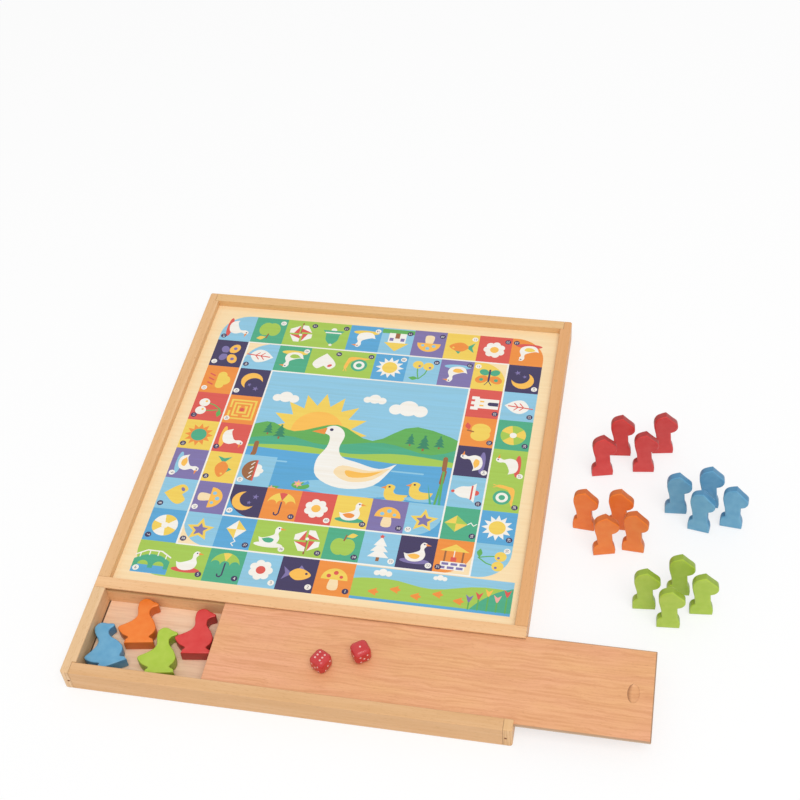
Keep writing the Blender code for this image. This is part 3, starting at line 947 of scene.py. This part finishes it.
def draw_pond(pen):
    """The picture in the middle: a goose and two goslings on a pond at sunrise, in millimetres."""
    pen.fill("sky")
    pen.star("yellow", -28, 14, 37, 25, 16)
    pen.disc("amber", -28, 14, 19, 28)
    puffs = ((-9, 0, 5), (0, 2, 7.5), (9, 0, 5.5))
    draw_clouds(pen, ((34, 42, 1), (-58, 43, 0.7), (8, 49, 0.6)), puffs, 18)
    ridge = ((-90, 2), (-66, 19), (-44, 12), (-14, 22), (14, 10), (44, 27), (90, 8))
    pen.blob("leaf", ridge + ((90, -20), (-90, -20)))
    pen.blob("green", ((-90, -4), (-50, 7), (-20, 2), (22, 9), (58, 2), (90, 13), (90, -24), (-90, -24)))
    for x, y, size in ((41, 14, 0.13), (51, 12, 0.17), (62, 14, 0.14), (-63, 12, 0.13), (-54, 10, 0.16)):
        draw_fir(pen.smaller(x, y, size), "leaf", "fir", "fir")
    pen.blob("lime", ((-90, -8), (-40, -1), (0, -4), (40, 0), (90, -7), (90, -26), (-90, -26)))
    pen.blob("blue", ((-100, -12), (-30, -7), (30, -9), (100, -13), (100, -70), (-100, -70)))
    ripples = ((-52, -17, 18), (44, -16, 22), (-16, -50, 26), (54, -44, 16), (-60, -36, 14), (20, -19, 12))
    for x, y, length in ripples:
        pen.stroke("sky", ((x - length / 2, y), (x + length / 2, y)), 1.4)
    swimmer = pen.smaller(4, -16, 0.82)
    swimmer.oval("sky", 0, -24, 43, 8)
    back = ((38, 8), (24, 1), (3, 6), (-10, 10), (-15, 20), (-13, 34), (-17, 42), (-24, 45), (-31, 42))
    breast = ((-32, 36), (-26, 32), (-26, 20), (-32, 4), (-28, -14), (-6, -24), (22, -18))
    swimmer.blob("white", back + breast, (0,))
    swimmer.area("orange", ((-30, 42), (-43, 36), (-31, 34)))
    swimmer.disc("navy", -26, 40, 1.7, 12)
    swimmer.blob("cream", ((34, 3), (16, -2), (-8, 1), (-14, -8), (0, -16), (20, -12)), (0,))
    swimmer.blob("amber", ((28, -1), (12, -5), (-4, -4), (0, -11), (16, -9)), (0,))
    for x, y in ((39, -37), (56, -33)):
        gosling = pen.smaller(x, y, 0.26)
        gosling.oval("sky", 0, -22, 40, 8)
        back = ((34, 4), (4, 4), (-6, 12), (-4, 30), (-20, 36))
        gosling.blob("yellow", back + ((-30, 26), (-28, -8), (-6, -22), (24, -16)), (0,))
        gosling.area("orange", ((-27, 30), (-42, 22), (-28, 19)))
        gosling.disc("navy", -19, 27, 3.4, 10)
    for x, y, size in ((-46, -44, 9), (-28, -37, 6.5), (22, -46, 8)):
        pen.oval("leaf", x, y, size, size * 0.5)
        pen.slice("blue", x, y, size, 20, 48, 4)
        pen.star("pink", x - 2, y + 1.4, 3.6, 1.8, 6)
        pen.disc("yellow", x - 2, y + 1.4, 1.1, 8)
    for x, height, lean in ((-71, 34, 2), (-66, 44, -2), (-61, 30, 4), (66, 34, 3), (71, 46, -2)):
        pen.stroke("leaf", ((x, -56), (x + lean, -56 + height)), 1.6)
        pen.stroke("brown", ((x + lean, -56 + height), (x + lean * 1.2, -46 + height)), 3.4)
    for x, lean in ((-68, -7), (-63, 8), (68, -8), (73, -5)):
        pen.area("green", ((x - 1.6, -56), (x + 1.6, -56), (x + lean, -24)))


def draw_start(pen):
    """The strip before the first square: tulips in a meadow and a track of webbed feet, in millimetres."""
    pen.fill("sky")
    pen.blob("lime", ((-60, 0), (-30, 5), (0, 1), (34, 7), (70, 2), (70, -20), (-60, -20)), (5, 6))
    pen.blob("green", ((70, 12), (46, 6), (30, -6), (20, -20), (70, -20)), (0, 3, 4))
    pen.box("blue", 0, -12.6, 130, 3)
    draw_clouds(pen, ((-34, 9, 0.8), (4, 10, 0.6)), ((-5, 0, 2.6), (0, 1, 3.6), (5, 0, 2.8)), 14)
    webbed_foot = ((-3, 0.5), (2.6, 3.2), (2, 1.6), (4.2, 0), (2, -1.6), (2.6, -3.2), (-3, -0.5))
    for place in range(5):
        x = 18 - 14 * place
        y = -6 + 3.4 * (place % 2)
        pen.area("orange", [(x + along, y + aside) for along, aside in webbed_foot])
    tulips = ((31, 5, "red"), (37, 8, "amber"), (43, 4, "pink"), (49, 9, "red"), (25, 2, "violet"))
    tulip = ((-2.6, -2), (0, -4), (2.6, -2), (0, -8))
    for x, height, ink in tulips:
        pen.stroke("leaf", ((x, -11), (x, height - 7)), 1)
        pen.blob(ink, [(x + aside, height + up) for aside, up in tulip], (0, 1, 2))


number = 0
for ring in range(RINGS):
    inner = Vector((PRINT_SIZE / 2, PRINT_SIZE / 2)) - ring * cell
    plate = Pen(goose_print, (0, 0), 1, inner)
    if ring:
        plate.fill("cream")
    if ring == RINGS - 1:
        draw_pond(plate)
    for square in ring_squares(ring)[: LAST_SQUARE - number]:
        number += 1
        draw_square(number, ring, *square)
    if ring:
        plate.reach = inner + Vector((RING_LINE, RING_LINE)) / 2
        for side in (-1, 1):
            plate.box("white", side * inner.x, 0, RING_LINE, 2 * inner.y + RING_LINE)
            plate.box("white", 0, side * inner.y, 2 * inner.x + RING_LINE, RING_LINE)

STRIP_OVERHANG = 5
strip_left = PRINT_SIZE / 2 - STRIP_CELLS * cell.x
strip_right = PRINT_SIZE / 2 + STRIP_OVERHANG
strip_middle = ((strip_left + strip_right) / 2, cell_middle(0, 0).y - RING_LINE / 2)
strip_reach = ((strip_right - strip_left) / 2, cell.y / 2 - RING_LINE / 2)
draw_start(Pen(goose_print, strip_middle, 1, strip_reach))

# The ludo game on the lower face: four arms of spots and squares, and a round home in each corner

LUDO_PITCH = 15.7
LUDO_SPOT = 7
SPOT_STEPS = 32
LUDO_SQUARE = 13.4
LUDO_NUMBER = 12
ARM_CELLS = 7
LUDO_MARGIN = Vector((5, 5))
MEDALLION_PLACE = 75
MEDALLION_RADIUS = 47
MEDALLION_STEPS = 64
MEDALLION_REACH = (50, 50)
PETALS = 12
ludo_colours = ("ludo_green", "ludo_red", "ludo_yellow", "ludo_blue")
ludo_print = Sheet(panel_half.x, panel_half.y, "cream")
for quarter, own in enumerate(ludo_colours):
    following = ludo_colours[(quarter + 1) % 4]
    arm = Pen(ludo_print, (0, 0), 1, panel_half.xy - LUDO_MARGIN, -90 * quarter)
    for step in range(1, ARM_CELLS + 1):
        place = step * LUDO_PITCH
        if step > 1:
            arm.disc(own, -LUDO_PITCH, place, LUDO_SPOT, SPOT_STEPS)
        arm.disc(following, LUDO_PITCH, place, LUDO_SPOT, SPOT_STEPS)
        if step == ARM_CELLS:
            arm.disc(following, 0, place, LUDO_SPOT, SPOT_STEPS)
            arm.star("navy", LUDO_PITCH, place, 3.6, 1.8, 3, -90)
        else:
            arm.box(following, 0, place, LUDO_SQUARE, LUDO_SQUARE)
            arm.numeral("navy", str(ARM_CELLS - step), 0, place, LUDO_NUMBER)
    home_middle = arm.turn @ Vector((-MEDALLION_PLACE, MEDALLION_PLACE))
    home = Pen(ludo_print, home_middle, 1, MEDALLION_REACH, -90 * quarter)
    for ink, inset in ((own, 0), ("cream", 4), (own, 5)):
        home.disc(ink, 0, 0, MEDALLION_RADIUS - inset, MEDALLION_STEPS)
    for petal in range(PETALS):
        angle = 360 * petal / PETALS
        spot = Matrix.Rotation(radians(angle), 2) @ Vector((0, 27))
        home.oval("white" if petal % 3 else "navy", spot.x, spot.y, 4.4, 10.5, angle)
        dot = Matrix.Rotation(radians(angle + 180 / PETALS), 2) @ Vector((0, 37))
        home.disc("cream", dot.x, dot.y, 1.8, 14)
    home.disc("cream", 0, 0, 14, 32)
    home.star("navy", 0, 0, 11, 5, 8)
    home.disc(own, 0, 0, 4.4, 20)
centre = Pen(ludo_print, (0, 0), 1, (20, 20))
centre.star("ludo_red", 0, 0, 10, 4.5, 4, 45)
centre.star("navy", 0, 0, 13, 4, 4)

# Both faces and the four edges of the panel in one mesh, with an ink for each of its faces

corners = []
faces = []
face_inks = []
for sheet, side, height in ((goose_print, 1, panel_high.z), (ludo_print, -1, panel_low.z)):
    points, triangles, triangle_inks = sheet.split()
    faces += [[len(corners) + number for number in triangle] for triangle in triangles]
    face_inks += triangle_inks
    for point in points:
        x, y = side * point.x * MILLIMETRE, point.y * MILLIMETRE
        corners.append((panel_middle.x + x, panel_middle.y + y, height))


def corner_near(place):
    """The number of the panel's corner that lies nearest to a place."""
    return min(range(len(corners)), key=lambda number: (Vector(corners[number]) - Vector(place)).length)


panel_reach = (panel_high - panel_low).xy / 2
rim_places = [panel_middle.xy + panel_reach * Vector(corner) for corner in SQUARE_CORNERS]
for first, second in zip(rim_places, rim_places[1:] + rim_places[:1]):
    ends = ((*first, panel_low.z), (*second, panel_low.z), (*second, panel_high.z), (*first, panel_high.z))
    faces.append([corner_near(place) for place in ends])
    face_inks.append("cream")
panel_mesh = bpy.data.meshes.new("printed_panel")
panel_mesh.from_pydata(corners, [], faces)
solid = bmesh.new()
solid.from_mesh(panel_mesh)
bmesh.ops.recalc_face_normals(solid, faces=solid.faces)
solid.to_mesh(panel_mesh)
solid.free()
ink_layer = panel_mesh.color_attributes.new("ink", "FLOAT_COLOR", "CORNER")
ink_values = []
for face, ink in zip(panel_mesh.polygons, face_inks):
    ink_values.extend(colour(inks[ink]) * len(face.vertices))
ink_layer.data.foreach_set("color", ink_values)

printed, tree, shader = new_material("printed_plywood")
ink = add_node(tree, "VertexColor", layer_name="ink").outputs["Color"]
figure = timber(tree, "X", (5, 5, 5))
veneer = blended(tree, figure["Streaks"], colour("FFFFFF"), colour("FAF5EE"))
shown = blended(tree, 1, ink, veneer, "MULTIPLY")
grained(tree, shader, shown, figure, smoothest=0.36, roughest=0.46, strength=0.15, depth=0.00005)
add_piece("printed_panel", panel_mesh, "board", "printed_panel", printed, "board_panel")


# Compartment floor
# A thin plywood sheet in a groove of the four compartment rails.
# Its inside is pale, and its outside has the reddish brown veneer that shows on the reverse of the board.

# The width of the painted shadow line along the left wall
GAP_SHADOW_WIDTH = 0.0006
wall_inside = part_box("left_end_rail")[1].x
floor_finish, tree, shader = new_material("floor_plywood")
figure = timber(tree, "X", (7, 7, 7), (2, 1.2, 1))
inside_tone = blended(tree, figure["Bands"], colour("FADABB"), colour("F2CBA8"))
outside_tone = blended(tree, figure["Bands"], colour("CF8E60"), colour("B87448"))
veneer = blended(tree, ranged(tree, facing_of(tree)["Z"], -0.1, 0.1, 0, 1), outside_tone, inside_tone)
pored = tinted(tree, veneer, "B4744A", 0.22, figure["Streaks"], 0.3)
across_floor = axes_of(tree, place_on(tree))["X"]
# A dark line on the floor along the left wall is painted shadow, standing for a gap where the floor meets
# the wall.
gap_shadow = ranged(tree, across_floor, wall_inside + GAP_SHADOW_WIDTH, wall_inside + 2 * GAP_SHADOW_WIDTH, 0, 1)
shown = blended(tree, gap_shadow, colour("4E3422"), pored)
grained(tree, shader, shown, figure, smoothest=0.5, roughest=0.65, strength=0.2, depth=0.00006)
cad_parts["compartment_floor"].data.materials.clear()
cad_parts["compartment_floor"].data.materials.append(floor_finish)


# Sliding lid
# Thin three-ply with a reddish face veneer, running in the grooves of the front and middle rails.
# Its edges are broken with sandpaper and banded thin grey, and a shallow thumb notch is milled near its
# right-hand end, its left slope painted darker as shade.

LID_ROUNDING = 0.0005
LID_ENDS = 0.0025  # the notch lies further in than this from the ends
NOTCH_RINGS = 24
GREY_WIDTH = 0.0005  # the edges of the face are grey this far in
lid_low, lid_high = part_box("sliding_lid")
lid_size = lid_high - lid_low
CORE_SHARE = (lid_size.z * 0.2, lid_size.z * 0.22)  # the core ply ends this far from the middle
lid_corners = [corner.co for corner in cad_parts["sliding_lid"].data.vertices]
notch = [place for place in lid_corners if lid_low.x + LID_ENDS < place.x < lid_high.x - LID_ENDS]
notch_rim = [place for place in notch if lid_high.z - place.z < MERGE_DISTANCE]
notch_low = Vector(map(min, *notch_rim))
notch_high = Vector(map(max, *notch_rim))
notch_middle = (notch_low + notch_high) / 2
notch_depth = lid_high.z - min(place.z for place in notch)

lid_solid = bmesh.new()
bmesh.ops.create_cube(lid_solid, size=1)
bmesh.ops.scale(lid_solid, vec=lid_size, verts=lid_solid.verts)
bmesh.ops.translate(lid_solid, vec=(lid_low + lid_high) / 2, verts=lid_solid.verts)
rounded(lid_solid, lid_solid.edges[:], LID_ROUNDING, RIM_SEGMENTS)
lid_mesh = finished_mesh(lid_solid, "veneered_lid")

cutter_solid = bmesh.new()
bmesh.ops.create_uvsphere(cutter_solid, u_segments=2 * NOTCH_RINGS, v_segments=NOTCH_RINGS, radius=1)
notch_size = (notch_high - notch_low) / 2
bmesh.ops.scale(cutter_solid, vec=(notch_size.x, notch_size.y, notch_depth), verts=cutter_solid.verts)
bmesh.ops.translate(cutter_solid, vec=notch_middle, verts=cutter_solid.verts)


def cut_out(piece, cutter_mesh):
    """Cuts a closed mesh out of a piece and drops the cutter."""
    cutter = in_scene("cutter", cutter_mesh)
    cut = piece.modifiers.new("cut", "BOOLEAN")
    cut.object = cutter
    cut.solver = "EXACT"
    bpy.context.view_layer.update()
    shaped = bpy.data.meshes.new_from_object(piece.evaluated_get(bpy.context.evaluated_depsgraph_get()))
    piece.modifiers.clear()
    piece.data = shaped
    bpy.data.objects.remove(cutter)


lid_finish, tree, shader = new_material("lid_plywood")
figure = timber(tree, "X", (11, 11, 11), (1.3, 1.4, 1), 0.009)
patches = stretched_noise(tree, place_on(tree), (14, 38, 38), 2)
patched = tinted(tree, colour("F1AF88"), "EDB37D", 1, patches, 0.35, 0.65)
banded = tinted(tree, patched, "E19F73", 0.45, figure["Bands"])
streaked = tinted(tree, banded, "CC8857", 0.5, figure["Streaks"], 0.25, 0.9)
pored = tinted(tree, streaked, "B8734C", 0.35, figure["Flecks"])
spot = axes_of(tree, place_on(tree))
facing = facing_of(tree)


def distance_from(tree, value, middle):
    """How far a value lies from a middle, on either side."""
    return worked_out(tree, "ABSOLUTE", worked_out(tree, "SUBTRACT", value, middle))


outer_ply = ranged(tree, distance_from(tree, spot["Z"], (lid_low.z + lid_high.z) / 2), *CORE_SHARE, 0, 1)
on_face = ranged(tree, distance_from(tree, facing["Z"], 0), 0.4, 0.5, 0, 1)
aside = distance_from(tree, spot["Y"], (lid_low.y + lid_high.y) / 2)
long_edge = ranged(tree, aside, lid_size.y / 2 - 2 * GREY_WIDTH, lid_size.y / 2 - GREY_WIDTH, 0, 1)
right_end = ranged(tree, spot["X"], lid_high.x - 2 * GREY_WIDTH, lid_high.x - GREY_WIDTH, 0, 1)
near_edge = worked_out(tree, "MAXIMUM", long_edge, right_end)
greyed = tinted(tree, pored, "9C836A", 0.7, near_edge)
# Painted shade, dark brown, on faces that look along +X: the notch's left slope and the top of the rounded
# right end.
right_facing_shade = tinted(tree, greyed, "8A5530", 0.65, facing["X"], 0.06, 0.3)  # the notch's left slope
plies = blended(tree, outer_ply, colour("CBAD8F"), colour("AF9276"))
shown = blended(tree, on_face, plies, right_facing_shade)
grained(tree, shader, shown, figure, smoothest=0.42, roughest=0.55, strength=0.25, depth=0.00008)
lid = add_piece("veneered_lid", lid_mesh, "lid", "lid_plywood", lid_finish, "sliding_lid")
cut_out(lid, finished_mesh(cutter_solid, "notch_cutter"))


# Geese and horses
# Flat cut-outs of thin beech board, sawn along one outline, tumbled round at the rims and lacquered, with
# their sawn sides in darker tones that are painted shade.
# The geese lie in the open end of the compartment, and the horses stand on the table beside the board.

CUTOUT_ROUNDING = 0.0008
CUTOUT_SEGMENTS = 4
FLAT_RING = 0.0002  # the round rims run into the flat faces over this width
SOLID_EDGE = 0.0005  # the solids' rims are broken by this much
SHARP_TURN = radians(38)  # an outline that turns more than this has a sharp corner there
OUTLINE_STEPS = 3
MITRE_LIMIT = 0.45
CUTOUT_EDGE = radians(30)


def cutout_frame(node):
    """The middle of a cut-out's solid, its directions across, up and through, and its thickness."""
    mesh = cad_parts[node].data
    broadest = max(mesh.polygons, key=lambda face: face.area).normal
    alike = [face.normal * face.area for face in mesh.polygons if face.normal @ broadest > cos(FLAT_ANGLE)]
    through = sum(alike, Vector()).normalized()
    low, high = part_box(node)
    middle = (low + high) / 2
    across = through.orthogonal().normalized()
    depths = [(corner.co - middle) @ through for corner in mesh.vertices]
    return middle, across, through.cross(across), through, max(depths) - min(depths)


def cutout_outline(node):
    """The sawn outline of a cut-out's solid as points across and up, in order."""
    middle, across, up, through, thickness = cutout_frame(node)
    solid = copied_solid(node)
    rim_depth = thickness / 2 - SOLID_EDGE / 2
    ring = [corner for corner in solid.verts if 0 < (corner.co - middle) @ through < rim_depth]
    order = ring[:1]
    while len(order) < len(ring):
        beside = [edge.other_vert(order[-1]) for edge in order[-1].link_edges]
        order.append(next(corner for corner in beside if corner in ring and corner not in order))
    points = [Vector(((corner.co - middle) @ across, (corner.co - middle) @ up)) for corner in order]
    solid.free()
    area = sum(a.x * b.y - a.y * b.x for a, b in zip(points, points[1:] + points[:1]))
    return points if area > 0 else points[::-1]


def inset_loop(points, distance):
    """The outline drawn in by a distance, with its sharp corners kept from running far."""
    loop = []
    for before, point, after in zip(points[-1:] + points[:-1], points, points[1:] + points[:1]):
        first = (point - before).normalized().orthogonal()
        second = (after - point).normalized().orthogonal()
        inward = (first + second).normalized()
        loop.append(point + inward * distance / max(inward @ first, MITRE_LIMIT))
    return loop


def cutout_mesh(node):
    """A cut-out with a finely curved outline and round rims."""
    middle, across, up, through, thickness = cutout_frame(node)
    rough = cutout_outline(node)
    sharp = []
    for number, point in enumerate(rough):
        arriving = point - rough[number - 1]
        leaving = rough[(number + 1) % len(rough)] - point
        if arriving.angle(leaving) > SHARP_TURN:
            sharp.append(number)
    outline = smooth_loop(rough, sharp, OUTLINE_STEPS)
    angles = [pi / 2 * step / CUTOUT_SEGMENTS for step in range(CUTOUT_SEGMENTS + 1)]
    rim = [(CUTOUT_ROUNDING * (1 - cos(angle)), CUTOUT_ROUNDING * (1 - sin(angle))) for angle in angles]
    rim.append((CUTOUT_ROUNDING + FLAT_RING, 0))
    rings = []
    for side, steps in ((-1, rim[::-1]), (1, rim)):
        for inward, sunk in steps:
            depth = side * (thickness / 2 - sunk)
            loop = inset_loop(outline, inward)
            rings.append([middle + across * point.x + up * point.y + through * depth for point in loop])
    solid = skinned(rings)
    solid.faces.index_update()
    # The sawn side is the middle row of faces, with one row of each rim; these take the darker second
    # lacquer, which is painted shade
    for face in solid.faces:
        row = face.index // len(outline)
        face.material_index = 1 if abs(row - CUTOUT_SEGMENTS - 1) < 2 else 0
    return smoothed_mesh(solid, "lacquered_" + node, CUTOUT_EDGE)


def lacquer(name, tone, worn, gloss=0):
    """Opaque satin lacquer over beech, softly mottled, with the grain standing out a little."""
    material, tree, shader = new_material(name)
    figure = add_node(tree, "Group", {"Place": place_on(tree)}, node_tree=timber_figure).outputs
    mottle = add_node(tree, "TexNoise", {"Vector": place_on(tree), "Scale": 180, "Detail": 3}).outputs[0]
    shown = tinted(tree, colour(tone), worn, 0.5, mottle, 0.35, 0.7)
    grained(tree, shader, shown, figure, 0.36 - gloss, 0.48 - gloss, strength=0.2, depth=0.0001)
    return material


# The tone of each lacquer and its mottle, on the faces and on the sawn sides, where the darker tones are
# painted shade
lacquer_tones = {
    "red": ("D63533", "E0504A", "A82A28", "B83E38"),
    "blue": ("5FA0C6", "7CB6D4", "4884AC", "609ABC"),
    "orange": ("F07922", "F58F3C", "CE621A", "D8742A"),
    "green": ("A9C53A", "BBD052", "8CA62C", "9EB640"),
}
lacquers = {}
for name, tones in lacquer_tones.items():
    lacquers[name] = lacquer(name + "_lacquer", *tones[:2]), lacquer(name + "_shaded_sides", *tones[2:])
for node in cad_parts:
    kind, _, rest = node.partition("_")
    if kind in ("goose", "horse"):
        tone = rest.partition("_")[0]
        mesh = cutout_mesh(node)
        add_piece("lacquered_" + node, mesh, node, tone + "_paint", lacquers[tone][0], node)
        mesh.materials.append(lacquers[tone][1])


# Dice
# Two small beech dice, sanded round, lacquered red, with shallow drilled pips touched in with white.
# They lie loose on the lid, one showing six and the other one.

DIE_ROUNDING = 0.0033
DIE_SEGMENTS = 5
DIE_EDGE = radians(28)
UPRIGHT = 0.1  # faces that look up or down by less than this stand upright
PIP_RADIUS = 0.00085
PIP_REACH = 1.02 * PIP_RADIUS  # faces of a pip end this close to the drill's middle
PIP_SEGMENTS, PIP_RINGS = 20, 12
PIP_SINK = 0.0005  # a drilling ball's middle stands this far outside the face
PIP_STEP = 0.0024
spots = {
    1: ((0, 0),),
    2: ((-1, -1), (1, 1)),
    3: ((-1, -1), (0, 0), (1, 1)),
    4: ((-1, -1), (-1, 1), (1, -1), (1, 1)),
    5: ((-1, -1), (-1, 1), (1, -1), (1, 1), (0, 0)),
    6: ((-0.8, -1), (-0.8, 0), (-0.8, 1), (0.8, -1), (0.8, 0), (0.8, 1)),
}
die_red = lacquer("die_red", "C42B2F", "D04443", gloss=0.15)
pip_white, tree, shader = new_material("pip_white")
rubbed = add_node(tree, "TexNoise", {"Vector": place_on(tree), "Scale": 2500, "Detail": 2}).outputs[0]
tree.links.new(blended(tree, rubbed, colour("EFC8C0"), colour("E0A8A0")), shader.inputs["Base Color"])
shader.inputs["Roughness"].default_value = 0.5


def add_die(node, top, front, front_way):
    """A rounded cube in the place of a die's solid, with drilled pips; opposite faces add up to seven."""
    low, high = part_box(node)
    middle = (low + high) / 2
    size = high.z - low.z
    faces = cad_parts[node].data.polygons
    broad = max(face.area for face in faces) / 2
    sides = [face.normal for face in faces if face.area > broad and abs(face.normal.z) < UPRIGHT]
    outward = max(sides, key=lambda side: side @ Vector(front_way))
    upward = Vector((0, 0, 1))
    turn = Matrix((upward.cross(outward).normalized(), -outward, upward)).transposed().to_3x3()
    solid = bmesh.new()
    bmesh.ops.create_cube(solid, size=size)
    rounded(solid, solid.edges[:], DIE_ROUNDING, DIE_SEGMENTS)
    bmesh.ops.transform(solid, matrix=Matrix.Translation(middle) @ turn.to_4x4(), verts=solid.verts)
    mesh = finished_mesh(solid, "drilled_" + node)
    die = add_piece("drilled_" + node, mesh, node, "die_red", die_red, node)
    right = next(value for value in (2, 3, 1) if value not in (top, 7 - top, front, 7 - front))
    drill = bmesh.new()
    centres = []
    for value, outward, first in (
        (top, (0, 0, 1), (1, 0, 0)),
        (7 - top, (0, 0, -1), (1, 0, 0)),
        (front, (0, -1, 0), (1, 0, 0)),
        (7 - front, (0, 1, 0), (1, 0, 0)),
        (right, (1, 0, 0), (0, 1, 0)),
        (7 - right, (-1, 0, 0), (0, 1, 0)),
    ):
        outward, first = Vector(outward), Vector(first)
        second = outward.cross(first)
        for x, y in spots[value]:
            spot = outward * (size / 2 + PIP_SINK) + (first * x + second * y) * PIP_STEP
            centres.append(middle + turn @ spot)
            ball = bmesh.ops.create_uvsphere(
                drill, u_segments=PIP_SEGMENTS, v_segments=PIP_RINGS, radius=PIP_RADIUS
            )["verts"]
            bmesh.ops.translate(drill, vec=centres[-1], verts=ball)
    cut_out(die, finished_mesh(drill, "pip_drill"))
    die.data.materials.append(pip_white)
    points = [corner.co for corner in die.data.vertices]
    for face in die.data.polygons:
        pip = min(centres, key=lambda centre: (face.center - centre).length)
        furthest = max((points[number] - pip).length for number in face.vertices)
        face.material_index = 1 if furthest < PIP_REACH else 0
    die.data.shade_smooth()
    die.data.set_sharp_from_angle(angle=DIE_EDGE)


add_die("die_1", 6, 5, (-1, -2, 0))
add_die("die_2", 1, 5, (1, -1, 0))


# Table, light and camera
# A plain white table under soft light from above and from the front right, seen as in the photograph.

TABLE_GAP = 0.0003
TABLE_SIZE = 30
AMBIENT = 0.62
SHOWN_WHITE = 0.65
LAMP_PLACE = (0.9, -1.5, 3.7)
LAMP_AIM = (0.05, 0.1, 0)
LAMP_SIZE = 2.8
LAMP_POWER = 80

table_solid = bmesh.new()
bmesh.ops.create_grid(table_solid, x_segments=1, y_segments=1, size=TABLE_SIZE / 2)
table = in_scene("table", finished_mesh(table_solid, "table"))
table.location.z = -TABLE_GAP


def seen_directly(tree):
    """One for rays that come straight from the camera, a mirror or a glass, and nought for light."""
    path = add_node(tree, "LightPath").outputs
    first = worked_out(tree, "MAXIMUM", path["Is Camera Ray"], path["Is Glossy Ray"])
    return worked_out(tree, "MAXIMUM", first, path["Is Transmission Ray"])


table_white, tree, shader = new_material("table_white")
shader.inputs["Base Color"].default_value = colour("FDFDFD")
shader.inputs["Roughness"].default_value = 0.9
shader.inputs["Specular IOR Level"].default_value = 0
glow = add_node(tree, "Emission", {"Color": (1, 1, 1, 1), "Strength": 1})
shown = ranged(tree, seen_directly(tree), 0, 1, 0, SHOWN_WHITE)
mixed = add_node(tree, "MixShader", {0: shown, 1: shader.outputs[0], 2: glow.outputs[0]})
tree.links.new(mixed.outputs[0], tree.nodes["Material Output"].inputs["Surface"])
table.data.materials.append(table_white)

world = bpy.data.worlds.new("studio")
world.use_nodes = True
background = world.node_tree.nodes["Background"]
background.inputs["Color"].default_value = (1, 1, 1, 1)
strength = ranged(world.node_tree, seen_directly(world.node_tree), 0, 1, AMBIENT, 1)
world.node_tree.links.new(strength, background.inputs["Strength"])
bpy.context.scene.world = world

lamp = bpy.data.lights.new("soft_lamp", "AREA")
lamp.shape = "DISK"
lamp.size = LAMP_SIZE
lamp.energy = LAMP_POWER
lamp_holder = in_scene("soft_lamp", lamp)
lamp_holder.location = LAMP_PLACE
lamp_holder.rotation_euler = (Vector(LAMP_AIM) - Vector(LAMP_PLACE)).to_track_quat("-Z", "Y").to_euler()

CAMERA_PLACE = (0.2012, -0.4889, 0.7592)
CAMERA_TURN = (43.076, 3.672, 10.532)  # degrees about X, Y and Z
CAMERA_LENS = 63.06  # millimetres, on a sensor 36 wide
camera = bpy.data.cameras.new("camera")
camera.lens = CAMERA_LENS
camera.clip_start = 0.01
camera_holder = in_scene("camera", camera)
camera_holder.location = CAMERA_PLACE
camera_holder.rotation_euler = [radians(angle) for angle in CAMERA_TURN]
bpy.context.scene.camera = camera_holder
bpy.context.scene.view_settings.view_transform = "Standard"
